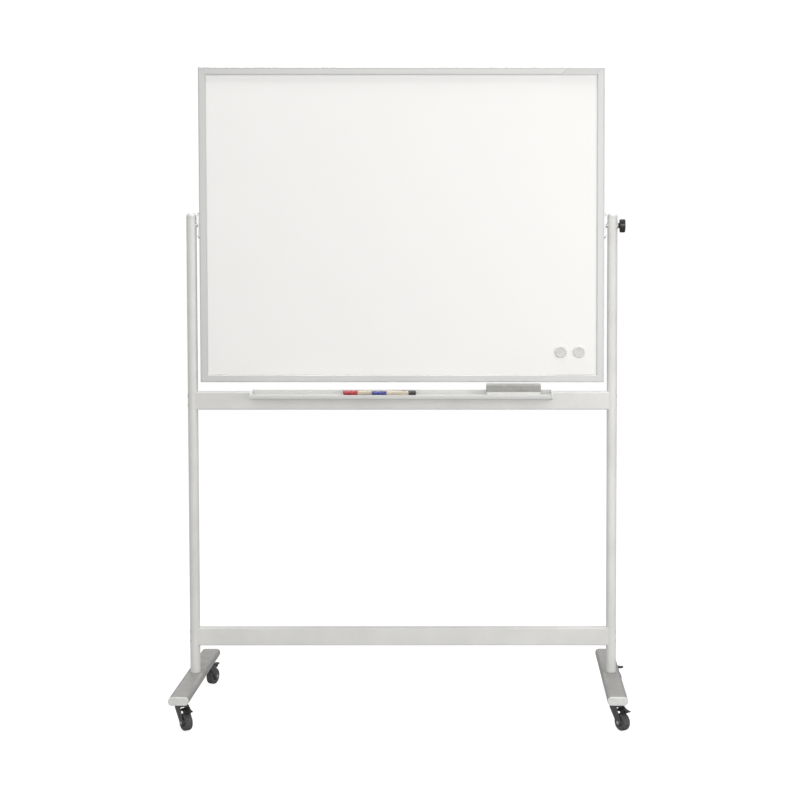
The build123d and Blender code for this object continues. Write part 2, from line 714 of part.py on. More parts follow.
def caster_pedal():
    """The brake pedal: a tapered tongue over the wheel, a shoe beneath it, and its cross pin."""
    outer = FORK_GAP / 2 + FORK_SHEET
    half_width, half_tip = PEDAL_WIDTH / 2, PEDAL_TIP_WIDTH / 2
    low, high = -PEDAL_THICKNESS / 2, PEDAL_THICKNESS / 2
    half_outline = [(0, half_width), (PEDAL_TAPER_START, half_width), (PEDAL_REACH, half_tip)]
    mirrored = [(reach, -width) for reach, width in reversed(half_outline)]
    blank = Polygon(*(half_outline + mirrored), align=None)
    tongue = along_z(fillet(blank.vertices().group_by(Axis.X)[-1], 4), low, high)
    tread_outline = rectangle(PEDAL_REACH - 8, PEDAL_REACH - 2, 1.5 - half_tip, half_tip - 1.5, 1.5)
    tread = along_z(tread_outline, high, high + 1.5)
    shoe_start, shoe_end, shoe_bottom, shoe_width = PEDAL_SHOE
    shoe_outline = rectangle(shoe_start, shoe_end, -shoe_width / 2, shoe_width / 2, 2)
    shoe = along_z(shoe_outline, shoe_bottom, low)
    boss = rod((0, -half_width, 0), (0, half_width, 0), PEDAL_BOSS_R)
    pin = rod((0, -outer, 0), (0, outer, 0), PEDAL_PIN_R)
    pin_x, pin_z = PEDAL_PIVOT
    return Pos(pin_x, 0, pin_z) * Rot(0, PEDAL_DROOP, 0) * (tongue + tread + shoe + boss + pin)


def caster_parts():
    pieces = {
        "fork": caster_fork(),
        "axle": caster_axle(),
        "tyre": caster_tyre(),
        "hub": caster_hub(),
        "brake_pedal": caster_pedal(),
    }
    parts = {}
    for corner, (side_x, side_y, heading) in CASTER_PLACES.items():
        place = Pos(side_x * COLUMN_X, side_y * CASTER_Y, 0) * Rot(0, 0, heading)
        for name, shape in pieces.items():
            parts[f"{corner}_{name}"] = place * shape
    return parts


# Markers, eraser and magnets


def marker_cap():
    """A hollow cap from the marker's end at z = 0 to its mouth."""
    mouth = MARKER_CAP_LENGTH
    return turned(
        [
            (0, 0),
            (MARKER_R - 1.5, 0),
            (MARKER_R, 3),
            (MARKER_R, mouth),
            (MARKER_NECK_R + SHAFT_CLEARANCE, mouth),
            (MARKER_NECK_R + SHAFT_CLEARANCE, MARKER_CAP_END_WALL),
            (0, MARKER_CAP_END_WALL),
        ]
    )


def marker_barrel():
    """The marker without its cap, nib towards z = 0: the nib is a piece of its own."""
    shoulder = MARKER_CAP_LENGTH + 0.2
    neck_end = shoulder - MARKER_NECK_LENGTH
    nose_end = neck_end - MARKER_NOSE_LENGTH
    body = turned(
        [
            (0, nose_end),
            (MARKER_NIB_R + 0.8, nose_end),
            (MARKER_NECK_R - 1, neck_end),
            (MARKER_NECK_R, neck_end),
            (MARKER_NECK_R, shoulder),
            (MARKER_R, shoulder),
            (MARKER_R, MARKER_LENGTH - 1.5),
            (MARKER_R - 1.5, MARKER_LENGTH),
            (0, MARKER_LENGTH),
        ]
    )
    nib_end = nose_end - MARKER_NIB_LENGTH
    nib = turned(
        [
            (0, nib_end),
            (0.8, nib_end),
            (MARKER_NIB_R, nib_end + 2),
            (MARKER_NIB_R, nose_end),
            (0, nose_end),
        ]
    )
    return group([body, nib])


def marker_parts():
    height = TRAY_FLOOR_Z + MARKER_GAP + MARKER_R
    parts = {}
    for colour, (x, y, cap_side) in MARKER_PLACES.items():
        end = Plane(origin=(x + cap_side * MARKER_LENGTH / 2, y, height), z_dir=(-cap_side, 0, 0))
        parts[f"{colour}_marker_barrel"] = end * marker_barrel()
        parts[f"{colour}_marker_cap"] = end * marker_cap()
    return parts


def eraser_parts():
    """A plastic grip over a felt pad that stands on the tray's floor."""
    grip_outline = Pos(ERASER_X, ERASER_Y) * RectangleRounded(ERASER_LENGTH, ERASER_DEPTH, ERASER_CORNER_R)
    grip = along_z(grip_outline, ERASER_BODY_BOTTOM, ERASER_TOP)
    grip = fillet(grip.edges().group_by(Axis.Z)[-1], 3)
    length, depth = ERASER_LENGTH - 2 * FELT_INSET, ERASER_DEPTH - 2 * FELT_INSET
    pad_outline = Pos(ERASER_X, ERASER_Y) * RectangleRounded(length, depth, ERASER_CORNER_R - 1)
    pad = along_z(pad_outline, TRAY_FLOOR_Z + 0.2, ERASER_BODY_BOTTOM)
    return {"eraser_body": grip, "eraser_felt": pad}


def magnet(x):
    """A round magnet on the front sheet, its edge rounded towards the room."""
    disc = fillet(Cylinder(MAGNET_R, MAGNET_THICKNESS).edges().group_by(Axis.Z)[-1], MAGNET_EDGE_R)
    sheet_face = -PANEL_THICKNESS / 2 - 0.1
    centre = (x, sheet_face - MAGNET_THICKNESS / 2, MAGNET_Z)
    return Plane(origin=centre, z_dir=(0, -1, 0)) * disc


def magnet_parts():
    return {f"{name}_magnet": magnet(x) for name, x in MAGNET_X.items()}


def main():
    parts = {
        **stand_parts(),
        **board_parts(),
        "clamp_knob": clamp_knob(),
        **caster_parts(),
        **marker_parts(),
        **eraser_parts(),
        **magnet_parts(),
    }
    os.makedirs("parts", exist_ok=True)
    for node, shape in parts.items():
        export_step(Pos(FOOTPRINT_SHIFT, 0, 0) * shape, f"parts/{node}.step")


main()
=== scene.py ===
import json
from math import atan2, cos, pi, radians, sin, tan, tau

import bmesh
import bpy
from mathutils import Matrix, Vector


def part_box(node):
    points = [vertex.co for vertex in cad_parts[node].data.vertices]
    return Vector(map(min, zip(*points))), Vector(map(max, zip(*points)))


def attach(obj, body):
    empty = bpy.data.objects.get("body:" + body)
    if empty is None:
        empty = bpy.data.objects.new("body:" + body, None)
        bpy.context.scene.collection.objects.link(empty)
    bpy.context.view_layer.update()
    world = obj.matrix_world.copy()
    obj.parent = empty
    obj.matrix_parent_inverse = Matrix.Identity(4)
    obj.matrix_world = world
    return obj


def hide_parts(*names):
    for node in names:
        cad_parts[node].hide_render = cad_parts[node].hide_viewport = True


# The looks of the rolling whiteboard, in metres, in the CAD model's own frame: +Z is up and the
# writer stands on the -Y side. The CAD model keeps every place and size, and the pieces made
# here are the finely shaped skins of its nodes.
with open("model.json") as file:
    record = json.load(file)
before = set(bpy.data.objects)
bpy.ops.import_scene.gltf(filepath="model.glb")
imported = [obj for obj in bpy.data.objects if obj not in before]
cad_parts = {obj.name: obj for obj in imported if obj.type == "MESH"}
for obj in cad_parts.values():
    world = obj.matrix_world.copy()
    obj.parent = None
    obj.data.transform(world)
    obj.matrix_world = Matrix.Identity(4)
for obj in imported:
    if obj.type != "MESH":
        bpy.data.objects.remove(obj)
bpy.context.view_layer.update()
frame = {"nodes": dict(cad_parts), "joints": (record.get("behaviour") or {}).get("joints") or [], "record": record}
scene = bpy.context.scene

MM = 0.001
IDENTITY = Matrix.Identity(4)
CORNERS = ("front_left", "front_right", "back_left", "back_right")
COLOURS = ("red", "black", "blue")
SLOT_OF = {part["node"]: part["material_slot"] for part in frame["record"]["subparts"]}
JOINTS = {joint["name"]: joint for joint in frame["joints"]}


# The camera and the light

CAMERA_PLACE = (0.2465, -4.8681, 1.4115)
CAMERA_PITCH = 2.9
CAMERA_YAW = 0.067
CAMERA_LENS = 73.3
CAMERA_SHIFT = (-0.114, -0.098)
AMBIENT_COLOUR = (1.0, 0.995, 0.985, 1)
AMBIENT_STRENGTH = 0.5
BACKDROP_STRENGTH = 1.05
FLOOR_SIZE = 400
FLOOR_COLOUR = (0.5, 0.5, 0.5, 1)
FLOOR_GLOW = 1.75
FLOOR_GLOW_SHARE = 0.5

# Each softbox's place, the point that it is aimed at, its width and height, and its power in watts.
SOFTBOXES = {
    "overhead": ((0.1, -0.15, 3.4), (0.1, -0.15, 0), (2.6, 0.3), 46),
    "front": ((0.0, -5.8, 1.7), (0, 0, 1.3), (4.6, 2.8), 87),
    "front_right": ((2.5, -3.6, 1.7), (0.4, 0, 1.1), (1.6, 2.0), 13),
    "right": ((1.9, -1.6, 1.25), (0.6, 0, 0.95), (0.6, 1.8), 11),
    "left": ((-3.4, -1.6, 1.6), (-0.3, 0, 0.9), (1.4, 2.2), 3),
    "back": ((-0.4, 5.0, 3.3), (0, 0, 1.2), (4.0, 1.6), 50),
}


def make_camera():
    """A long lens in front of the board, tilted down a little, with the rest of the framing by shift."""
    data = bpy.data.cameras.new("camera")
    data.lens = CAMERA_LENS
    data.sensor_width = 36.0
    data.shift_x, data.shift_y = CAMERA_SHIFT
    camera = bpy.data.objects.new("camera", data)
    camera.location = CAMERA_PLACE
    camera.rotation_euler = (radians(90 - CAMERA_PITCH), 0, -radians(CAMERA_YAW))
    scene.collection.objects.link(camera)
    scene.camera = camera


def softbox(name, place, target, size, power):
    """A rectangular lamp at one point, aimed at another."""
    data = bpy.data.lights.new(name, "AREA")
    data.shape = "RECTANGLE"
    data.size, data.size_y = size
    data.energy = power
    lamp = bpy.data.objects.new(name, data)
    lamp.location = place
    lamp.rotation_euler = (Vector(target) - Vector(place)).to_track_quat("-Z", "Y").to_euler()
    scene.collection.objects.link(lamp)


def lit_surface(tree, shader, glow, share):
    """A shader that also glows evenly, but only where the camera looks straight at it."""
    nodes, links = tree.nodes, tree.links
    seen = nodes.new("ShaderNodeLightPath")
    bright = nodes.new("ShaderNodeMixShader")
    links.new(seen.outputs["Is Camera Ray"], bright.inputs["Fac"])
    links.new(shader, bright.inputs[1])
    both = nodes.new("ShaderNodeMixShader")
    both.inputs["Fac"].default_value = share
    links.new(shader, both.inputs[1])
    links.new(glow, both.inputs[2])
    links.new(both.outputs["Shader"], bright.inputs[2])
    return bright.outputs["Shader"]


def make_room():
    """A white room: soft even light, a backdrop that the camera sees as white, and a pale floor."""
    world = bpy.data.worlds.new("room")
    scene.world = world
    world.use_nodes = True
    tree = world.node_tree
    ambient = tree.nodes["Background"]
    ambient.inputs["Color"].default_value = AMBIENT_COLOUR
    ambient.inputs["Strength"].default_value = AMBIENT_STRENGTH
    backdrop = tree.nodes.new("ShaderNodeBackground")
    backdrop.inputs["Color"].default_value = (1, 1, 1, 1)
    backdrop.inputs["Strength"].default_value = BACKDROP_STRENGTH
    shown = lit_surface(tree, ambient.outputs["Background"], backdrop.outputs["Background"], 1.0)
    tree.links.new(shown, tree.nodes["World Output"].inputs["Surface"])

    pale = bpy.data.materials.new("floor_white")
    pale.use_nodes = True
    tree = pale.node_tree
    shader = tree.nodes["Principled BSDF"]
    shader.inputs["Base Color"].default_value = FLOOR_COLOUR
    shader.inputs["Roughness"].default_value = 0.9
    shader.inputs["Specular IOR Level"].default_value = 0.1
    glow = tree.nodes.new("ShaderNodeEmission")
    glow.inputs["Strength"].default_value = FLOOR_GLOW
    shown = lit_surface(tree, shader.outputs["BSDF"], glow.outputs["Emission"], FLOOR_GLOW_SHARE)
    tree.links.new(shown, tree.nodes["Material Output"].inputs["Surface"])
    bpy.ops.mesh.primitive_plane_add(size=FLOOR_SIZE)
    floor = bpy.context.object
    floor.name = "floor"
    floor.data.materials.append(pale)

    for name, (place, target, size, power) in SOFTBOXES.items():
        softbox(name, place, target, size, power)


# Materials


def new_material(name, colour, roughness, metallic=0.0, **sockets):
    """A Principled material whose constant sockets are set directly."""
    made = bpy.data.materials.new(name)
    made.use_nodes = True
    shader = made.node_tree.nodes["Principled BSDF"]
    shader.inputs["Base Color"].default_value = (*colour, 1)
    shader.inputs["Roughness"].default_value = roughness
    shader.inputs["Metallic"].default_value = metallic
    for socket, value in sockets.items():
        shader.inputs[socket.replace("_", " ")].default_value = value
    return made, shader


def noise(made, scale, detail, stretch=(1, 1, 1)):
    """Noise in the part's own coordinates, its grain drawn out where stretch is small."""
    tree = made.node_tree
    place = tree.nodes.new("ShaderNodeTexCoord")
    mapping = tree.nodes.new("ShaderNodeMapping")
    mapping.inputs["Scale"].default_value = stretch
    texture = tree.nodes.new("ShaderNodeTexNoise")
    texture.inputs["Scale"].default_value = scale
    texture.inputs["Detail"].default_value = detail
    tree.links.new(place.outputs["Object"], mapping.inputs["Vector"])
    tree.links.new(mapping.outputs["Vector"], texture.inputs["Vector"])
    return texture.outputs["Fac"]


def spread(made, source, low, high, start=0.35, end=0.65):
    """Noise, which keeps near its middle, spread from low to high."""
    node = made.node_tree.nodes.new("ShaderNodeMapRange")
    node.inputs["From Min"].default_value = start
    node.inputs["From Max"].default_value = end
    node.inputs["To Min"].default_value = low
    node.inputs["To Max"].default_value = high
    made.node_tree.links.new(source, node.inputs["Value"])
    return node.outputs["Result"]


def tint(made, shader, source, dark, light):
    """The base colour wanders between two colours with a pattern from 0 to 1."""
    mix = made.node_tree.nodes.new("ShaderNodeMix")
    mix.data_type = "RGBA"
    mix.inputs["A"].default_value = (*dark, 1)
    mix.inputs["B"].default_value = (*light, 1)
    made.node_tree.links.new(source, mix.inputs["Factor"])
    made.node_tree.links.new(mix.outputs["Result"], shader.inputs["Base Color"])


def rough(made, shader, source):
    """The roughness follows a pattern."""
    made.node_tree.links.new(source, shader.inputs["Roughness"])


def bump(made, shader, source, height):
    """Raised grain, its height in metres."""
    node = made.node_tree.nodes.new("ShaderNodeBump")
    node.inputs["Strength"].default_value = 1.0
    node.inputs["Distance"].default_value = height
    made.node_tree.links.new(source, node.inputs["Height"])
    made.node_tree.links.new(node.outputs["Normal"], shader.inputs["Normal"])


def scaled(colour, share):
    """A colour made lighter or darker by a share."""
    return tuple(min(1.0, c * share) for c in colour)


def powder_coat(name, colour):
    """Satin powder coat: a fine orange peel, faint mottling and a few dull rubbed patches."""
    made, shader = new_material(name, colour, 0.42, Coat_Weight=0.12, Coat_Roughness=0.25)
    tint(made, shader, spread(made, noise(made, 9, 5), 0, 1), scaled(colour, 0.95), scaled(colour, 1.03))
    rough(made, shader, spread(made, noise(made, 26, 6), 0.36, 0.50))
    bump(made, shader, noise(made, 900, 2), 0.00006)
    return made


def anodised(name, colour, grain, roughness=0.54, metallic=0.8):
    """Satin anodised aluminium with fine drawing lines along the extrusion."""
    made, shader = new_material(name, colour, roughness, metallic)
    lines = noise(made, 1, 3, tuple(3 if axis == grain else 1400 for axis in "XYZ"))
    tint(made, shader, spread(made, lines, 0, 1), scaled(colour, 0.96), scaled(colour, 1.02))
    rough(made, shader, spread(made, lines, roughness - 0.05, roughness + 0.06))
    bump(made, shader, lines, 0.00002)
    return made


def enamel(name, colour):
    """Glossy writing enamel: very slightly uneven, with the haze that a dry wipe leaves."""
    shine = {"Specular_IOR_Level": 0.55, "Coat_Weight": 0.4, "Coat_Roughness": 0.08}
    made, shader = new_material(name, colour, 0.2, **shine)
    haze = noise(made, 1, 6, (3.2, 3.2, 9.0))
    tint(made, shader, spread(made, haze, 0, 1), scaled(colour, 0.988), colour)
    rough(made, shader, spread(made, haze, 0.17, 0.27))
    bump(made, shader, noise(made, 60, 2), 0.00003)
    return made


def moulded(name, colour, roughness=0.5, grain=1500, relief=0.00005):
    """Moulded plastic with a fine spark-eroded grain."""
    made, shader = new_material(name, colour, roughness)
    mottle = spread(made, noise(made, 70, 4), 0, 1)
    tint(made, shader, mottle, scaled(colour, 0.94), scaled(colour, 1.06))
    rough(made, shader, spread(made, noise(made, 160, 3), roughness - 0.06, roughness + 0.08))
    bump(made, shader, noise(made, grain, 2), relief)
    return made


def glossy_plastic(name, colour):
    """Polished moulded plastic, with faint handling haze."""
    made, shader = new_material(name, colour, 0.22, Coat_Weight=0.3, Coat_Roughness=0.1)
    haze = noise(made, 120, 4)
    tint(made, shader, spread(made, haze, 0, 1), scaled(colour, 0.93), scaled(colour, 1.04))
    rough(made, shader, spread(made, haze, 0.18, 0.32))
    bump(made, shader, noise(made, 500, 2), 0.00002)
    return made


def plated_steel(name, colour, roughness):
    """Zinc-plated steel: bright, with soft cloudy passivation."""
    made, shader = new_material(name, colour, roughness, 1.0)
    cloud = noise(made, 220, 5)
    tint(made, shader, spread(made, cloud, 0, 1), scaled(colour, 0.86), scaled(colour, 1.05))
    rough(made, shader, spread(made, cloud, roughness - 0.08, roughness + 0.12))
    bump(made, shader, noise(made, 1800, 2), 0.00002)
    return made


def rubber(name, colour):
    """Grey rolling rubber, dusty in patches."""
    made, shader = new_material(name, colour, 0.72, Specular_IOR_Level=0.35)
    dust = noise(made, 150, 6)
    tint(made, shader, spread(made, dust, 0, 1, 0.4, 0.75), scaled(colour, 0.85), scaled(colour, 1.5))
    rough(made, shader, spread(made, dust, 0.62, 0.86))
    bump(made, shader, noise(made, 1100, 4), 0.00012)
    return made


def felt(name, colour):
    """Pressed felt, matted and a little sooty from wiped ink."""
    made, shader = new_material(name, colour, 0.95, Sheen_Weight=0.4, Sheen_Roughness=0.5)
    soot = noise(made, 45, 5)
    tint(made, shader, spread(made, soot, 0, 1), scaled(colour, 0.92), colour)
    rough(made, shader, spread(made, noise(made, 900, 2), 0.85, 1.0))
    bump(made, shader, noise(made, 1600, 6), 0.0001)
    return made


def fibreboard(name, colour):
    """Raw pressed fibre, flecked along the sheet."""
    made, shader = new_material(name, colour, 0.85)
    flecks = noise(made, 1, 6, (240, 700, 240))
    tint(made, shader, spread(made, flecks, 0, 1), scaled(colour, 0.75), scaled(colour, 1.15))
    rough(made, shader, spread(made, flecks, 0.75, 0.95))
    bump(made, shader, flecks, 0.0002)
    return made


ALUMINIUM = (0.65, 0.652, 0.645)
FINISHES = {
    "light_grey_paint": powder_coat("silver_powder_coat", (0.75, 0.745, 0.725)),
    # The feet's coat is a darker grey paint, darkened further as painted shade for the shade that falls on the
    # feet's back halves behind the board.
    "foot_paint_with_painted_shade": powder_coat("foot_coat_with_painted_shade", (0.31, 0.305, 0.295)),
    "anodised_aluminium": anodised("aluminium_along_x", ALUMINIUM, "X"),
    "aluminium_upright": anodised("aluminium_along_z", ALUMINIUM, "Z"),
    "tray_aluminium": anodised("tray_aluminium", (0.68, 0.68, 0.665), "X", 0.5, 0.2),
    "white_enamel": enamel("writing_enamel", (0.88, 0.872, 0.854)),
    "core_board": fibreboard("core_fibre", (0.42, 0.31, 0.2)),
    "light_grey_plastic": moulded("pale_plastic", (0.72, 0.72, 0.70), 0.45),
    "label_grey": anodised("label_metal", (0.5, 0.5, 0.495), "X", 0.42),
    "zinc_steel": plated_steel("zinc_plate", (0.56, 0.565, 0.57), 0.34),
    "nylon": moulded("nylon", (0.78, 0.77, 0.72), 0.4),
    "black_plastic": moulded("black_nylon", (0.008, 0.008, 0.0078), 0.45, 1200, 0.00008),
    "fork_grey": powder_coat("fork_paint", (0.062, 0.06, 0.063)),
    "tyre_grey": rubber("grey_rubber", (0.088, 0.087, 0.087)),
    "hub_grey": moulded("hub_plastic", (0.13, 0.13, 0.132), 0.45),
    "marker_white": glossy_plastic("marker_barrel_white", (0.54, 0.48, 0.37)),
    "cap_red": glossy_plastic("cap_plastic_red", (0.40, 0.018, 0.026)),
    "cap_blue": glossy_plastic("cap_plastic_blue", (0.022, 0.028, 0.23)),
    "cap_black": glossy_plastic("cap_plastic_black", (0.02, 0.02, 0.018)),
    "eraser_grey": moulded("eraser_shell", (0.365, 0.36, 0.34), 0.48),
    "felt_white": felt("eraser_felt_white", (0.92, 0.91, 0.88)),
    "magnet_grey": glossy_plastic("magnet_shell", (0.66, 0.66, 0.65)),
}
CAP_SLOT = {"red": "cap_red", "black": "cap_black", "blue": "cap_blue"}


def finish_cad_nodes():
    """Every node that keeps its CAD shape gets its slot's finish. The feet get a darker one: partly their grey
    paint, and partly painted shade standing in for the shade on their back halves.
    """
    for node, piece in frame["nodes"].items():
        key = "foot_paint_with_painted_shade" if node in ("left_foot", "right_foot") else SLOT_OF[node]
        piece.data.materials.clear()
        piece.data.materials.append(FINISHES[key])


# Mesh building

SHARP_ANGLE = radians(38)


def softened(corners, closed=True, steps=4):
    """An outline from (u, v, radius) corners, with an arc at each corner that has a radius."""
    points = []
    last = len(corners) - 1
    for i, (u, v, radius) in enumerate(corners):
        if radius == 0 or (not closed and i in (0, last)):
            points.append((u, v))
            continue
        here = Vector((u, v))
        before = (Vector(corners[i - 1][:2]) - here).normalized()
        after = (Vector(corners[(i + 1) % len(corners)][:2]) - here).normalized()
        half = before.angle(after) / 2
        centre = here + (before + after).normalized() * (radius / sin(half))
        first = here + before * (radius / tan(half)) - centre
        second = here + after * (radius / tan(half)) - centre
        start = atan2(first.y, first.x)
        turn = (atan2(second.y, second.x) - start + pi) % tau - pi
        for k in range(steps + 1):
            angle = start + turn * k / steps
            points.append((centre.x + radius * cos(angle), centre.y + radius * sin(angle)))
    return points


def in_mm(points):
    """Points given in millimetres, in metres."""
    return [tuple(c * MM for c in p) for p in points]


def softened_mm(corners, closed=True, steps=4):
    """A softened outline whose corners and radii are given in millimetres, in metres."""
    return in_mm(softened(corners, closed, steps))


def round_rectangle(width, depth, radius, steps=6):
    """A rectangle about the origin with round corners."""
    u, v = width / 2, depth / 2
    return softened([(-u, -v, radius), (u, -v, radius), (u, v, radius), (-u, v, radius)], True, steps)


def circle(radius, sides):
    """Evenly spaced points on a circle about the origin."""
    return [(radius * cos(tau * i / sides), radius * sin(tau * i / sides)) for i in range(sides)]


def hull(points):
    """The convex outline round a set of points, anticlockwise."""

    def half(ordered):
        chain = []
        for p in ordered:
            while len(chain) > 1:
                (ax, ay), (bx, by) = chain[-2], chain[-1]
                if (bx - ax) * (p[1] - ay) - (by - ay) * (p[0] - ax) > 1e-12:
                    break
                chain.pop()
            chain.append(p)
        return chain[:-1]

    ordered = sorted(set(points))
    return half(ordered) + half(ordered[::-1])


def axes(origin, x_axis, y_axis):
    """A place from its origin and its first two axes."""
    x_axis, y_axis = Vector(x_axis).normalized(), Vector(y_axis).normalized()
    turn = Matrix((x_axis, y_axis, x_axis.cross(y_axis))).transposed().to_4x4()
    return Matrix.Translation(origin) @ turn


def facing_x(origin, side=1):
    """A place whose z axis points along +X, or -X, and whose x axis points along +Y."""
    return axes(origin, (0, 1, 0), (0, 0, side))


def round_edges(mesh, edges, radius):
    """Rounds some edges of a mesh."""
    bmesh.ops.bevel(mesh, geom=edges, offset=radius, segments=3, profile=0.5, affect="EDGES")


class Piece:
    """One visible piece, made by adding solids to it and then finishing it."""

    def __init__(self):
        self.mesh = bmesh.new()

    def join(self, solid):
        """Adds a mesh that was made apart, and frees it."""
        held = bpy.data.meshes.new("held")
        solid.to_mesh(held)
        solid.free()
        self.mesh.from_mesh(held)
        bpy.data.meshes.remove(held)

    def take(self, solid, place):
        """Adds a solid that was drawn apart, at its place, with its faces turned outwards."""
        solid.transform(place)
        bmesh.ops.recalc_face_normals(solid, faces=solid.faces)
        self.join(solid)

    def lofted(self, rings, place=IDENTITY, closed=False):
        """Skins rings of (x, y, z) points. A ring of one point is a tip; other ends are filled."""
        solid = bmesh.new()
        made = [[solid.verts.new(p) for p in ring] for ring in rings]
        pairs = list(zip(made, made[1:]))
        if closed:
            pairs.append((made[-1], made[0]))
        for low, high in pairs:
            sides = max(len(low), len(high))
            for i in range(sides):
                j = (i + 1) % sides
                if len(low) == 1:
                    solid.faces.new((low[0], high[j], high[i]))
                elif len(high) == 1:
                    solid.faces.new((low[i], low[j], high[0]))
                else:
                    solid.faces.new((low[i], low[j], high[j], high[i]))
        if not closed and len(made[0]) > 2:
            solid.faces.new(made[0][::-1])
        if not closed and len(made[-1]) > 2:
            solid.faces.new(made[-1])
        self.take(solid, place)

    def turned(self, outline, place=IDENTITY, sides=48, closed=False):
        """Turns an outline of (radius, z) points about the z axis."""
        rings = []
        for radius, z in outline:
            flat = circle(radius, sides) if radius > 1e-7 else [(0, 0)]
            rings.append([(x, y, z) for x, y in flat])
        self.lofted(rings, place, closed)

    def slab(self, outline, low, high, place=IDENTITY, edge=0.0):
        """An outline in (x, y) made solid from z = low to z = high, with its rims rounded."""
        solid = bmesh.new()
        bottom = [solid.verts.new((u, v, low)) for u, v in outline]
        top = [solid.verts.new((u, v, high)) for u, v in outline]
        solid.faces.new(bottom[::-1])
        solid.faces.new(top)
        for i in range(len(outline)):
            j = (i + 1) % len(outline)
            solid.faces.new((bottom[i], bottom[j], top[j], top[i]))
        if edge:
            rims = [e for e in solid.edges if abs(e.verts[0].co.z - e.verts[1].co.z) < 1e-9]
            round_edges(solid, rims, edge)
        self.take(solid, place)

    def drawn(self, section, half_length, place=IDENTITY, mitred=False):
        """A section in (y, z) drawn along x. Mitred ends lean in below z = 0."""
        rings = []
        for end in (-1, 1):
            rings.append([(end * (half_length + (z if mitred else 0)), y, z) for y, z in section])
        self.lofted(rings, place)

    def carve(self, outline, low, high, place):
        """Cuts a recess with this outline out of what was made so far."""
        cutter = Piece()
        cutter.slab(outline, low, high, place)
        tool = cutter.plain("cutter")
        body = self.plain("carved")
        cut = body.modifiers.new("cut", "BOOLEAN")
        cut.operation = "DIFFERENCE"
        cut.solver = "EXACT"
        cut.object = tool
        bpy.context.view_layer.update()
        result = body.evaluated_get(bpy.context.evaluated_depsgraph_get()).to_mesh()
        self.mesh = bmesh.new()
        self.mesh.from_mesh(result)
        for spare in (tool, body):
            mesh = spare.data
            bpy.data.objects.remove(spare)
            bpy.data.meshes.remove(mesh)

    def plain(self, name):
        """Makes the object alone, and frees the mesh that it was made from."""
        mesh = bpy.data.meshes.new(name)
        self.mesh.to_mesh(mesh)
        self.mesh.free()
        made = bpy.data.objects.new(name, mesh)
        scene.collection.objects.link(made)
        return made

    def done(self, name, slot, body, stands_for=(), finish=None):
        """Makes the object, with its finish, its body and the nodes that it stands for."""
        piece = self.plain(name)
        piece.data.shade_smooth()
        piece.data.set_sharp_from_angle(angle=SHARP_ANGLE)
        piece.data.materials.append(FINISHES[finish or slot])
        weigh = piece.modifiers.new("flat_faces_stay_flat", "WEIGHTED_NORMAL")
        weigh.keep_sharp = True
        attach(piece, body)
        if stands_for:
            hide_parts(*stands_for)
        return piece


def centre_of(node):
    """The middle of a node's box."""
    low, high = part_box(node)
    return (low + high) / 2


# Fasteners

# A cross recess's outline in millimetres: half of it, then the same turned by half a turn.
CROSS = [(-2.1, -0.45), (-0.45, -0.45), (-0.45, -2.1), (0.45, -2.1), (0.45, -0.45), (2.1, -0.45)]
CROSS += [(-x, -y) for x, y in CROSS]


def pan_head(piece, place, radius, height, recess=1.0):
    """A pan-headed screw with a cross recess, its seat at the place's z = 0."""
    sunk = -0.3 * MM
    head = [(0, sunk, 0), (radius, sunk, 0), (radius, height, 0.75 * height), (0, height, 0)]
    piece.turned(softened(head, False), place, 32)
    cross = in_mm([(x * recess, y * recess) for x, y in CROSS])
    piece.carve(cross, height - 1.1 * MM, height + 1 * MM, place)


def hexagon(across_flats):
    """A hexagon about the origin, from the distance between its flats."""
    return circle(across_flats / 2 / cos(pi / 6), 6)


# The stand


def make_column_caps():
    """Domed plugs with a small shadow groove above the tube's rim."""
    low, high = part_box("column_caps")
    radius = (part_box("left_column")[1].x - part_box("left_column")[0].x) / 2
    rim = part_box("left_column")[1].z
    plug = radius - 2.2 * MM
    groove_radius, groove_height = radius - 0.7 * MM, 0.7 * MM
    foot, rise = low.z - rim, high.z - rim
    outline = [
        (0, foot, 0), (plug, foot, 0), (plug, 0.0, 0), (groove_radius, 0.0, 0),
        (groove_radius, groove_height, 0), (radius, groove_height, 0.3 * MM),
        (radius, rise, 11 * MM), (0, rise, 0),
    ]
    piece = Piece()
    for x in (low.x + radius, high.x - radius):
        piece.turned(softened(outline, False, 10), Matrix.Translation((x, 0, rim)), 64)
    piece.done("column_domes", "light_grey_plastic", "stand", ["column_caps"])


def make_rail_bolts():
    """Countersunk bolts with hexagon sockets, let into the outer sides of the columns."""
    low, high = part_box("rail_bolts")
    outline = in_mm([(0, -12), (3, -12), (3, -3.3), (5.6, -0.5), (6, 0), (0, 0)])
    from_centre, socket = 14 * MM, 4 * MM
    piece = Piece()
    for side, x in ((-1, low.x), (1, high.x)):
        for rail in ("upper_rail", "lower_rail"):
            for step in (-from_centre, from_centre):
                place = facing_x((x, 0, centre_of(rail).z + step), side)
                piece.turned(outline, place, 32)
                piece.carve(hexagon(socket), -2.2 * MM, 1 * MM, place)
    piece.done("rail_bolt_heads", "zinc_steel", "stand", ["rail_bolts"])


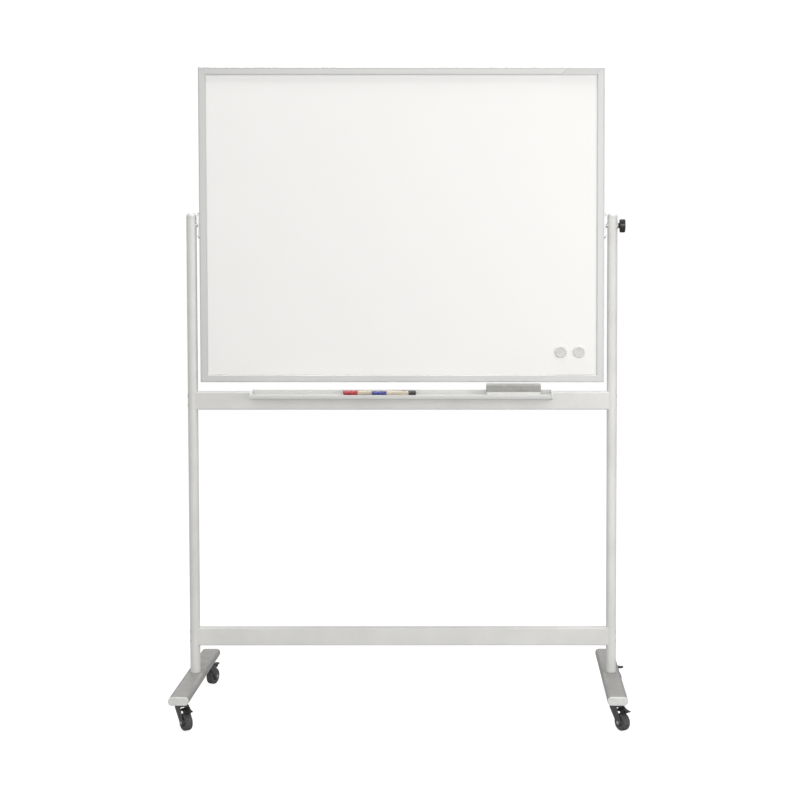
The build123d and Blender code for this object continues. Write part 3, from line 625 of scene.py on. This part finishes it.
def make_foot_caps():
    """Pillowed caps over the feet's open ends, each with a fine step round its rim."""
    corner_radius = 11
    # Each ring's inset from the foot's outline, and how far it stands out from the foot's end.
    pillow = [
        (2.6, -12), (2.6, -0.2), (0.4, -0.2), (0.0, 0.1), (0.1, 1.0), (0.7, 2.0),
        (1.8, 2.6), (3.6, 2.95), (5.2, 3.0), (6.0, 2.7), (8.0, 2.7),
    ]
    piece = Piece()
    for foot in ("left_foot", "right_foot"):
        low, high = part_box(foot)
        width, height = high.x - low.x, high.z - low.z
        middle = (low + high) / 2
        for end, y in ((-1, low.y), (1, high.y)):
            rings = []
            for inset, out in pillow:
                both = 2 * inset * MM
                corner = (corner_radius - inset) * MM
                flat = round_rectangle(width - both, height - both, corner, 10)
                rings.append([(u, v, out * MM) for u, v in flat])
            place = axes((middle.x, y, middle.z), (-end, 0, 0), (0, 0, 1))
            piece.lofted(rings, place)
    piece.done("foot_caps", "light_grey_plastic", "stand", ["foot_end_caps"])


def make_foot_bolts():
    """Round bolt heads with hexagon sockets, under the feet."""
    low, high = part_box("foot_bolts")
    radius = 7 * MM
    head = softened([(0, -8 * MM, 0), (radius, -8 * MM, 0), (radius, 0, 2 * MM), (0, 0, 0)], False)
    piece = Piece()
    for x in (low.x + radius, high.x - radius):
        place = axes((x, 0, low.z), (1, 0, 0), (0, -1, 0))
        piece.turned(head, place, 32)
        piece.carve(hexagon(6 * MM), -3 * MM, 1 * MM, place)
    piece.done("foot_bolt_heads", "zinc_steel", "stand", ["foot_bolts"])


def make_tray():
    """The tray's extrusion, with fine grooves drawn along its floor, its flange and its front lip."""
    low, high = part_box("pen_tray")
    back, front, bottom, top = high.y, low.y, low.z, high.z
    floor, under = bottom + 14 * MM, bottom + 12.2 * MM
    wall = 1.8 * MM
    bead = 2.2 * MM
    lip_low, lip_top = bottom + 8 * MM, bottom + 19 * MM
    section = [(back, bottom, 0.6 * MM), (back, top, 0.6 * MM), (back - wall, top, 0.6 * MM)]
    inside = back - wall
    for rise in (11.5, 6.0):
        z = floor + rise * MM
        section += [(inside, z + 0.5 * MM, 0), (inside + 0.4 * MM, z, 0), (inside, z - 0.5 * MM, 0)]
    section.append((inside, floor, 1.2 * MM))
    for reach in (14, 28, 42):
        y = back - reach * MM
        section += [(y + 0.7 * MM, floor, 0), (y, floor - 0.5 * MM, 0), (y - 0.7 * MM, floor, 0)]
    section += [
        (front + bead, floor, 1.4 * MM),
        (front + bead, lip_top, 1.0 * MM),
        (front, lip_top, 1.0 * MM),
        (front, lip_low + 4.2 * MM, 0),
        (front + 0.4 * MM, lip_low + 3.8 * MM, 0),
        (front, lip_low + 3.4 * MM, 0),
        (front, lip_low, 1.0 * MM),
        (front + bead, lip_low, 1.0 * MM),
        (front + bead, under, 1.0 * MM),
        (inside, under, 0.8 * MM),
        (inside, bottom, 0.6 * MM),
    ]
    piece = Piece()
    middle = (low.x + high.x) / 2
    piece.drawn(softened(section, True, 4), (high.x - low.x) / 2, Matrix.Translation((middle, 0, 0)))
    piece.done("tray_extrusion", "anodised_aluminium", "stand", ["pen_tray"], "tray_aluminium")


def make_tray_cheeks():
    """Moulded cheeks over the tray's ends, with a rim round each."""
    low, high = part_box("tray_end_caps")
    tray_low, tray_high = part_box("pen_tray")
    back, front, bottom, top = high.y, low.y, low.z, high.z
    corners = [
        (back, bottom, 1.5),
        (front + 52.5 * MM, bottom, 4.0),
        (front, bottom + 7 * MM, 3.0),
        (front, bottom + 20 * MM, 3.0),
        (back - 8 * MM, top, 6.0),
        (back, top, 1.5),
    ]
    outline = softened([(y, z, r * MM) for y, z, r in corners], True, 6)
    piece = Piece()
    for inner, outer in ((tray_low.x, low.x), (tray_high.x, high.x)):
        place = facing_x((inner, 0, 0))
        near, far = sorted((0, outer - inner))
        piece.slab(outline, near, far, place, 0.9 * MM)
    piece.done("tray_cheeks", "light_grey_plastic", "stand", ["tray_end_caps"])


def make_tray_screws():
    """Four screws up into the tray: one near each end and two nearer its middle."""
    low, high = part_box("tray_screws")
    head_radius, head_height = 3.8 * MM, 2.4 * MM
    piece = Piece()
    first, last = low.x + head_radius, high.x - head_radius
    middle = (first + last) / 2
    inner = 140 * MM
    for x in (first, middle - inner, middle + inner, last):
        place = axes((x, low.y + head_height, (low.z + high.z) / 2), (1, 0, 0), (0, 0, 1))
        screw = Piece()
        pan_head(screw, place, head_radius, head_height, 0.85)
        piece.join(screw.mesh)
    piece.done("tray_screw_heads", "zinc_steel", "stand", ["tray_screws"])


# The board


def frame_profile():
    """The frame's section in (y, z), its outer face at z = 0: one half, then its mirror image."""
    face, lip, panel = 11.0, 9.4, 7.0
    groove = face - 0.7
    half = [
        (0.0, 0.0, 0), (face, 0.0, 1.6), (face, -2.6, 0), (groove, -2.9, 0), (groove, -3.5, 0),
        (face, -3.8, 0), (face, -20.0, 0.8), (lip, -21.0, 0.5), (lip, -23.0, 0.6), (panel, -23.0, 0),
        (panel, -11.0, 0),
    ]
    mirrored = [(-y, z, r) for y, z, r in half[:0:-1]]
    return softened_mm(half + mirrored)


def make_frame():
    """Four mitred lengths of one extrusion, with a fine shadow groove near the outer edge."""
    low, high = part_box("frame_left")[0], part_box("frame_right")[1]
    middle = (low + high) / 2
    half_width, half_height = (high.x - low.x) / 2, (high.z - low.z) / 2
    section = frame_profile()
    mitre_gap = 0.05 * MM
    lengths = {
        "top": ((middle.x, 0, high.z), 0, half_width, "anodised_aluminium"),
        "right": ((high.x, 0, middle.z), 90, half_height, "aluminium_upright"),
        "bottom": ((middle.x, 0, low.z), 180, half_width, "anodised_aluminium"),
        "left": ((low.x, 0, middle.z), 270, half_height, "aluminium_upright"),
    }
    for name, (origin, turn, half_length, finish) in lengths.items():
        piece = Piece()
        place = Matrix.Translation(origin) @ Matrix.Rotation(radians(turn), 4, "Y")
        piece.drawn(section, half_length - mitre_gap, place, mitred=True)
        piece.done(f"frame_extrusion_{name}", "anodised_aluminium", "board", [f"frame_{name}"], finish)


def make_label():
    """A blank slanted plate with a raised border."""
    low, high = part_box("label_plate")
    lean = high.z - low.z
    place = axes((low.x, high.y, low.z), (1, 0, 0), (0, 0, 1))
    width = high.x - low.x - lean
    outline = [(0, 0), (width, 0), (width + lean, lean), (lean, lean)]
    border = 1.3 * MM
    slant = border * 2.4
    inner = [
        (slant, border),
        (width - border * 0.4, border),
        (width + lean - slant, lean - border),
        (lean + border * 0.4, lean - border),
    ]
    thick = high.y - low.y
    piece = Piece()
    piece.lofted(
        [
            [(u, v, 0) for u, v in outline],
            [(u, v, thick) for u, v in outline],
            [(u, v, thick) for u, v in inner],
            [(u, v, thick - 0.25 * MM) for u, v in inner],
        ],
        place,
    )
    piece.done("label_blank", "label_grey", "board", ["label_plate"])


def make_pivot_plates():
    """Steel plates with a weld bead round the pin or the spacer that stands on each."""
    thick, spacer = 4 * MM, 5.3
    for name, side in (("left", -1), ("right", 1)):
        low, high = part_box(f"{name}_pivot_plate")
        height, width = high.z - low.z, high.y - low.y
        face = high.x if side < 0 else low.x
        place = facing_x((face, 0, (low.z + high.z) / 2), side)
        reach = (high.x - low.x - thick) / MM
        piece = Piece()
        piece.slab(round_rectangle(width, height, 5 * MM), 0, thick, place, 0.6 * MM)
        if side < 0:
            shaft = [(0, 0, 0), (4.5, 0, 0), (4.5, reach, 0.8), (0, reach, 0)]
            weld = 6.3
        else:
            shaft = [(0, 0, 0), (7, 0, 0), (7, spacer, 0.5), (5, spacer, 0), (5, reach, 0.8), (0, reach, 0)]
            weld = 8.6
        start = place @ Matrix.Translation((0, 0, thick))
        piece.turned(softened_mm(shaft, False), start, 40)
        bead = [(weld - 2.4, -0.5), (weld, -0.5), (weld, 0.2), (weld - 1.0, 0.9), (weld - 2.4, 1.3)]
        piece.turned(in_mm(bead), start, 40, closed=True)
        piece.done(f"{name}_pivot", "zinc_steel", "board", [f"{name}_pivot_plate"])


def make_pivot_screws():
    """Two pan-headed screws in each pivot plate."""
    low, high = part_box("pivot_plate_screws")
    head_radius, head_height = 4.6 * MM, 2.5 * MM
    piece = Piece()
    for side, x in ((-1, low.x), (1, high.x)):
        for z in (low.z + head_radius, high.z - head_radius):
            screw = Piece()
            pan_head(screw, facing_x((x - side * head_height, 0, z), side), head_radius, head_height)
            piece.join(screw.mesh)
    piece.done("pivot_screw_heads", "zinc_steel", "board", ["pivot_plate_screws"])


KNOB_LOBES = 5
KNOB_SIDES = 120


def make_knob():
    """A star knob: a round neck, flared lobes and a dished face with the stud's end in it."""
    low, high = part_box("clamp_knob")
    middle = (low + high) / 2
    length = (high.x - low.x) / MM
    head = length - 17.0
    radius = 21.0

    def ring(mean, depth, z):
        points = []
        for i in range(KNOB_SIDES):
            angle = tau * i / KNOB_SIDES
            valley = (0.5 + 0.5 * cos(KNOB_LOBES * (angle - pi / 2))) ** 1.6
            r = mean - depth * valley
            points.append((r * cos(angle) * MM, r * sin(angle) * MM, z * MM))
        return points

    # Each ring's radius, the depth of its valleys, and how far out it is.
    stations = [
        (5.3, 0, 0.0), (7.4, 0, 0.0), (8.0, 0, 0.6), (8.0, 0, head - 1.3), (8.6, 0.2, head - 0.4),
        (12.0, 1.6, head + 0.1), (18.0, 4.4, head + 0.4), (19.8, 5.0, head + 0.9),
        (20.7, 5.2, head + 1.9), (radius, 5.3, head + 3.5), (radius, 5.3, length - 4.2),
        (20.6, 5.2, length - 2.2), (19.6, 5.0, length - 0.9), (18.0, 4.6, length - 0.15),
        (16.6, 4.1, length), (13.5, 2.8, length - 0.8), (10.6, 1.0, length - 1.5), (9.4, 0, length - 1.6),
        (8.8, 0, length - 0.5), (8.2, 0, length - 0.2), (6.2, 0, length - 0.2), (5.7, 0, length - 0.7),
        (5.6, 0, length - 3.4),
    ]
    place = axes((low.x, middle.y, JOINTS["knob_turn"]["pos_m"][2]), (0, 1, 0), (0, 0, 1))
    piece = Piece()
    piece.lofted([ring(*station) for station in stations], place)
    piece.done("clamp_star", "black_plastic", "knob", ["clamp_knob"])
    insert = Piece()
    end = length - 3.5
    stud = [(0, end - 2), (5.4, end - 2), (5.4, end + 0.8), (4.6, end + 1.4), (0, end + 1.4)]
    insert.turned(in_mm(stud), place, 32)
    insert.done("clamp_insert", "zinc_steel", "knob")


# The casters: millimetres from each caster's own place

WHEEL_TRAIL = 26.0
WHEEL_RADIUS = 25.0
FORK_HALF_GAP = 13.0
FORK_SHEET = 2.5
FORK_OUTER = FORK_HALF_GAP + FORK_SHEET
CROWN_HEIGHTS = (66.5, 69.0)
CROWN_LENGTH = 35.0
RACE_TOP = 75.7
TOP_PLATE_HEIGHTS = (76.0, 80.0)
PEDAL_PIVOT = (21.0, 0.0, 60.5)
PEDAL_DROOP = 4.0
PEDAL_HALF_WIDTH = 11.0
PEDAL_TAPER_START = 14.0
PEDAL_TAPER_LENGTH = 22.0
HUB_RIBS = 6

# The share of its width that the pedal's tongue loses from the taper's start to its tip.
PEDAL_NARROWING = 0.41

# Half sections of the rings: radius, distance from the wheel's mid-plane, and corner radius.
TYRE_HALF_SECTION = [
    (17.0, 9.9, 0), (18.2, 9.9, 0.3), (18.4, 10.5, 0.4), (WHEEL_RADIUS, 10.5, 4.4), (WHEEL_RADIUS, 5.2, 0.2),
    (24.1, 4.9, 0.2), (24.1, 4.1, 0.2), (WHEEL_RADIUS, 3.8, 0.2),
]
HUB_HALF_SECTION = [
    (3.05, 12.7, 0), (6.6, 12.7, 0.8), (7.4, 3.4, 1.0), (13.6, 3.4, 1.0), (14.2, 9.6, 0.5), (17.0, 9.6, 0.3),
]
SIDEWAYS = axes((0, 0, 0), (1, 0, 0), (0, 0, 1))
AXLE_PLACE = axes((WHEEL_TRAIL * MM, 0, WHEEL_RADIUS * MM), (0, 0, 1), (1, 0, 0))


def caster_place(corner):
    """A caster's own place: x towards its trail, y along its axle, on the floor under its stem."""
    stem = Vector(JOINTS[f"{corner}_swivel_turn"]["pos_m"])
    wheel = Vector(JOINTS[f"{corner}_wheel_roll"]["pos_m"])
    trail = Vector((wheel.x - stem.x, wheel.y - stem.y, 0))
    return axes((stem.x, stem.y, 0), trail, JOINTS[f"{corner}_wheel_roll"]["axis"])


def mirrored_section(half):
    """A closed ring's outline from its half on the positive side."""
    whole = half + [(r, -z, soft) for r, z, soft in half[::-1]]
    return softened_mm(whole, True, 5)


def make_wheel(corner, place):
    """A grooved tyre on a hub that has ribs between its bore and its rim on both faces."""
    axle = place @ AXLE_PLACE
    tyre = Piece()
    tyre.turned(mirrored_section(TYRE_HALF_SECTION), axle, 96, closed=True)
    tyre.done(f"{corner}_tyre_tread", "tyre_grey", f"{corner}_wheel", [f"{corner}_tyre"])
    hub = Piece()
    hub.turned(mirrored_section(HUB_HALF_SECTION), axle, 72, closed=True)
    rib = round_rectangle(7.6 * MM, 1.8 * MM, 0.4 * MM, 2)
    half_height = 2.4 * MM
    for i in range(HUB_RIBS):
        for side in (-1, 1):
            turn = Matrix.Rotation(tau * i / HUB_RIBS, 4, "Z")
            out = Matrix.Translation((10.6 * MM, 0, side * 5.2 * MM))
            hub.slab(rib, -half_height, half_height, axle @ turn @ out, 0.3 * MM)
    hub.done(f"{corner}_wheel_hub", "hub_grey", f"{corner}_wheel", [f"{corner}_hub"])


def make_fork(corner, place):
    """A pressed fork: a crown and two ribbed cheeks, with the race's housing on top."""
    crown_low, crown_high = CROWN_HEIGHTS
    fork = Piece()
    crown = round_rectangle(CROWN_LENGTH * MM, 2 * FORK_OUTER * MM, 4 * MM)
    crown_place = place @ Matrix.Translation((0.5 * MM, 0, 0))
    fork.slab(crown, crown_low * MM, crown_high * MM, crown_place, 0.7 * MM)
    eye = [(WHEEL_TRAIL + x, WHEEL_RADIUS + z) for x, z in circle(8.5, 32)]
    shoulders = [(-13, 66.5), (-13, 61), (-10, 68.4), (15, 68.4), (18, 66)]
    cheek = in_mm(hull(eye + shoulders))
    rib_foot = [(WHEEL_TRAIL + x, WHEEL_RADIUS + z) for x, z in circle(3.0, 16)]
    rib = in_mm(hull(rib_foot + [(3, 60), (9, 60)]))
    for side in (-1, 1):
        near, far = sorted((-side * FORK_HALF_GAP * MM, -side * FORK_OUTER * MM))
        fork.slab(cheek, near, far, place @ SIDEWAYS, 0.7 * MM)
        near, far = sorted((-side * (FORK_OUTER - 0.5) * MM, -side * (FORK_OUTER + 0.7) * MM))
        fork.slab(rib, near, far, place @ SIDEWAYS, 0.6 * MM)
    fork.done(f"{corner}_fork_pressing", "fork_grey", f"{corner}_swivel", [f"{corner}_fork"])
    housing = [
        (4.1, 68.9, 0), (16.5, 68.9, 0.3), (16.5, 72.0, 1.2), (13.6, 73.2, 0.6), (13.2, RACE_TOP, 0.8),
        (4.1, RACE_TOP, 0),
    ]
    race = Piece()
    race.turned(softened_mm(housing), place, 64, closed=True)
    race.done(f"{corner}_ball_race", "zinc_steel", f"{corner}_swivel")


def make_axle(corner, place):
    """A wheel bolt with a washer and a hexagon at each end."""
    centre = place @ AXLE_PLACE
    shank = [(0, -FORK_OUTER), (3, -FORK_OUTER), (3, FORK_OUTER), (0, FORK_OUTER)]
    washer = softened_mm([(3, 0, 0), (5.5, 0, 0), (5.5, 0.8, 0.3), (3, 0.8, 0)], True, 2)
    axle = Piece()
    axle.turned(in_mm(shank), centre, 24)
    for side in (-1, 1):
        seat = centre @ Matrix.Scale(side, 4, (0, 0, 1)) @ Matrix.Translation((0, 0, FORK_OUTER * MM))
        axle.turned(washer, seat, 32, closed=True)
        axle.slab(hexagon(9 * MM), 0.7 * MM, 3 * MM, seat, 0.4 * MM)
    axle.done(f"{corner}_wheel_bolt", "zinc_steel", f"{corner}_swivel", [f"{corner}_axle"])


def pedal_share(reach):
    """The share of its full width that the pedal has this far from its pivot."""
    return 1 - PEDAL_NARROWING * (reach - PEDAL_TAPER_START) / PEDAL_TAPER_LENGTH


def make_pedal(corner, place):
    """A brake pedal: a tapered tongue with grip ribs, a shoe beneath it, and its pin."""
    droop = Matrix.Rotation(radians(PEDAL_DROOP), 4, "Y")
    pivot = place @ Matrix.Translation(Vector(PEDAL_PIVOT) * MM) @ droop
    side_view = [
        (-4.5, -1.0, 2.0), (-4.5, 3.4, 3.0), (2.0, 4.6, 3.0), (9.0, 3.0, 5.0), (27.0, 2.2, 4.0),
        (34.6, 3.2, 1.2), (36.0, 0.9, 1.0), (29.0, -2.1, 4.0), (21.2, -2.0, 0.6), (20.6, -7.5, 2.0),
        (8.4, -7.5, 2.0), (6.4, -2.3, 1.5), (1.0, -4.5, 3.0), (-3.0, -4.2, 1.5),
    ]
    half_width = PEDAL_HALF_WIDTH * MM
    pedal = Piece()
    pedal.slab(softened_mm(side_view, True, 5), -half_width, half_width, pivot @ SIDEWAYS)
    from_pivot = pivot.inverted()
    for vertex in pedal.mesh.verts:
        local = from_pivot @ vertex.co
        share = min(1.0, pedal_share(local.x / MM))
        vertex.co += pivot.to_3x3() @ Vector((0, local.y * (share - 1), 0))
    rims = []
    for edge in pedal.mesh.edges:
        first, second = (from_pivot @ vertex.co for vertex in edge.verts)
        if abs(first.y - second.y) < 3 * MM:
            rims.append(edge)
    round_edges(pedal.mesh, rims, 0.9 * MM)
    for reach in (25.0, 27.8, 30.6, 33.2):
        across = 15.5 - PEDAL_NARROWING * (reach - PEDAL_TAPER_START)
        rise = 2.2 + 0.13 * max(0, reach - 27)
        grip = round_rectangle(1.2 * MM, across * MM, 0.5 * MM, 3)
        grip_place = pivot @ Matrix.Translation((reach * MM, 0, rise * MM))
        pedal.slab(grip, -0.8 * MM, 0.6 * MM, grip_place, 0.3 * MM)
    pin = [(0, -15.5), (2.2, -15.5), (2.5, -15.2), (2.5, 15.2), (2.2, 15.5), (0, 15.5)]
    pedal.turned(in_mm(pin), pivot @ axes((0, 0, 0), (0, 0, 1), (1, 0, 0)), 24)
    pedal.done(f"{corner}_pedal_lever", "black_plastic", f"{corner}_pedal", [f"{corner}_brake_pedal"])


def make_stems():
    """The casters' top plates, king pins and, inside the feet, their stems and nuts."""
    low, high = TOP_PLATE_HEIGHTS
    stem = [
        (0, 62.8, 0), (5.5, 62.8, 0.5), (7, 64.6, 0.5), (7, 66.2, 0.3), (4, 66.2, 0), (4, low, 0),
        (17, low, 0.8), (18, low + 1.2, 0.5), (18, high, 0), (5, high, 0), (5, 98, 0.8), (0, 98, 0),
    ]
    piece = Piece()
    for corner in CORNERS:
        place = caster_place(corner)
        piece.turned(softened_mm(stem, False), place, 64)
        piece.slab(hexagon(16 * MM), 82.5 * MM, 90.5 * MM, place, 0.6 * MM)
    piece.done("caster_top_plates", "zinc_steel", "stand", ["caster_stems"], "fork_grey")


def make_casters():
    """The stems, which belong to the stand, then each caster's own pieces."""
    make_stems()
    for corner in CORNERS:
        place = caster_place(corner)
        make_wheel(corner, place)
        make_fork(corner, place)
        make_axle(corner, place)
        make_pedal(corner, place)


# Markers, eraser and magnets

# The coloured stretches of a marker's barrel, in millimetres from its capped end.
NIB_END = 21.0
BAND = (50.0, 52.5)
CAP_FLUTES = 16
CAP_SIDES = 96
FELT_LAYERS = 4


def marker_place(colour):
    """The marker's capped end, its z axis pointing along the marker to its plug end."""
    cap_low, cap_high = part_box(f"{colour}_marker_cap")
    barrel_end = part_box(f"{colour}_marker_barrel")[1].x
    centre = (cap_low + cap_high) / 2
    towards = 1 if barrel_end > cap_high.x + MM else -1
    end = cap_low.x if towards > 0 else cap_high.x
    return facing_x((end, centre.y, centre.z), towards)


def make_marker(colour):
    """A barrel with its nib, a band of the ink's colour and a plug, and a fluted cap over the nib."""
    place = marker_place(colour)
    body = [
        (0, 14.2, 0), (0.9, 14.2, 0.4), (2.2, 16.2, 0.5), (2.2, 21.2, 0), (3.0, 21.2, 0.3),
        (4.9, 30.2, 0.4), (5.9, 30.2, 0.3), (5.9, 43.2, 0), (6.6, 43.2, 0.2), (7.0, 43.8, 0.3),
        (7.0, 98.6, 0.3), (6.6, 99.0, 0), (6.6, 99.6, 0), (7.0, 100.0, 0.3), (7.0, 108.0, 1.4),
        (4.6, 108.0, 0.3), (4.4, 107.2, 0.3), (0, 107.2, 0),
    ]
    marker = f"{colour}_marker"
    barrel = Piece()
    barrel.turned(softened_mm(body, False), place, 56)
    made = barrel.done(f"{marker}_body", "marker_white", marker, [f"{marker}_barrel"])
    made.data.materials.append(FINISHES[CAP_SLOT[colour]])
    from_cap = place.inverted()
    for face in made.data.polygons:
        along = (from_cap @ face.center).z / MM
        if along < NIB_END or BAND[0] < along < BAND[1]:
            face.material_index = 1

    def cap_ring(radius, z, flute):
        ring = []
        for i in range(CAP_SIDES):
            angle = tau * i / CAP_SIDES
            r = radius - flute * (0.5 - 0.5 * cos(CAP_FLUTES * angle))
            ring.append((r * cos(angle) * MM, r * sin(angle) * MM, z * MM))
        return ring

    # Each ring's radius, its distance from the cap's end, and the depth of its flutes.
    stations = [
        (3.4, 0.9, 0), (4.6, 0.9, 0), (4.8, 0.0, 0), (5.7, 0.0, 0), (6.5, 0.4, 0), (6.9, 1.3, 0),
        (7.0, 2.6, 0), (7.0, 4.0, 0), (7.0, 5.0, 0.35), (7.0, 30.0, 0.35), (7.0, 31.0, 0), (7.0, 42.4, 0),
        (6.7, 43.0, 0), (6.1, 43.0, 0), (5.95, 42.6, 0), (5.95, 3.2, 0), (3.4, 3.2, 0),
    ]
    cap = Piece()
    cap.lofted([cap_ring(*station) for station in stations], place, closed=True)
    cap.turned(in_mm([(0, 1.4), (3.6, 1.4), (3.6, 2.8), (0, 2.8)]), place, 32)
    cap.done(f"{colour}_cap_shell", CAP_SLOT[colour], f"{colour}_cap", [f"{marker}_cap"])


def inset_ring(length, depth, inset, corner, z, steps):
    """A level ring with round corners; its inset, corner radius and height are in millimetres."""
    flat = round_rectangle(length - 2 * inset * MM, depth - 2 * inset * MM, corner * MM, steps)
    return [(u, v, z * MM) for u, v in flat]


def block_size(node):
    """A block's place in the middle of its foot, its length and depth, and its height in millimetres."""
    low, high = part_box(node)
    middle = (low + high) / 2
    place = Matrix.Translation((middle.x, middle.y, low.z))
    return place, high.x - low.x, high.y - low.y, (high.z - low.z) / MM


def make_eraser():
    """A straight-sided grip with a fine step near its foot and a shallow tray on top, over a felt pad."""
    place, length, depth, height = block_size("eraser_body")
    # Each ring's inset from the grip's outline, and its height.
    stations = [
        (1.0, 0.0), (0.2, 0.3), (0.0, 1.0), (0.0, 2.4), (0.4, 2.8), (0.4, 3.4), (0.0, 3.8),
        (0.0, height - 3.0), (0.4, height - 1.4), (1.2, height - 0.4), (2.6, height), (6.0, height),
        (7.0, height - 0.5), (8.2, height - 1.0), (14.0, height - 1.2), (20.0, height - 1.2),
    ]
    rings = []
    for inset, z in stations:
        corner = max(4.5 - 0.1 * inset, 1.5)
        rings.append(inset_ring(length, depth, inset, corner, z, 8))
    shell = Piece()
    shell.lofted(rings, place)
    shell.done("eraser_grip", "eraser_grey", "eraser", ["eraser_body"])

    place, length, depth, height = block_size("eraser_felt")
    layer = height / FELT_LAYERS
    profile = [(0.9, 0.0), (0.2, 0.35), (0.0, 0.9), (0.0, layer - 0.9), (0.2, layer - 0.35), (0.9, layer)]
    rings = []
    for i in range(FELT_LAYERS):
        for inset, z in profile:
            rings.append(inset_ring(length, depth, inset, 3, i * layer + z, 6))
    pad = Piece()
    pad.lofted(rings, place)
    felted = pad.done("eraser_pad", "felt_white", "eraser", ["eraser_felt"])


def make_magnet(name):
    """A round magnet shell with a softened rim and a shallow dished face."""
    low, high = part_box(f"{name}_magnet")
    centre = (low + high) / 2
    height, radius = (high.y - low.y) / MM, (high.x - low.x) / 2 / MM
    outline = [
        (0, 0, 0), (radius - 0.6, 0, 0.3), (radius, 0.6, 0.3), (radius, height, 2.4),
        (radius - 4.2, height, 0.8), (radius - 5.0, height - 0.7, 0.8), (0, height - 0.9, 0),
    ]
    piece = Piece()
    place = axes((centre.x, high.y, centre.z), (1, 0, 0), (0, 0, 1))
    piece.turned(softened_mm(outline, False, 8), place, 72)
    piece.done(f"{name}_magnet_shell", "magnet_grey", f"{name}_magnet", [f"{name}_magnet"])


make_camera()
make_room()
finish_cad_nodes()
make_column_caps()
make_rail_bolts()
make_foot_caps()
make_foot_bolts()
make_tray()
make_tray_cheeks()
make_tray_screws()
make_frame()
make_label()
make_pivot_plates()
make_pivot_screws()
make_knob()
make_casters()
for colour in COLOURS:
    make_marker(colour)
make_eraser()
for name in ("left", "right"):
    make_magnet(name)

scene.view_settings.view_transform = "Standard"
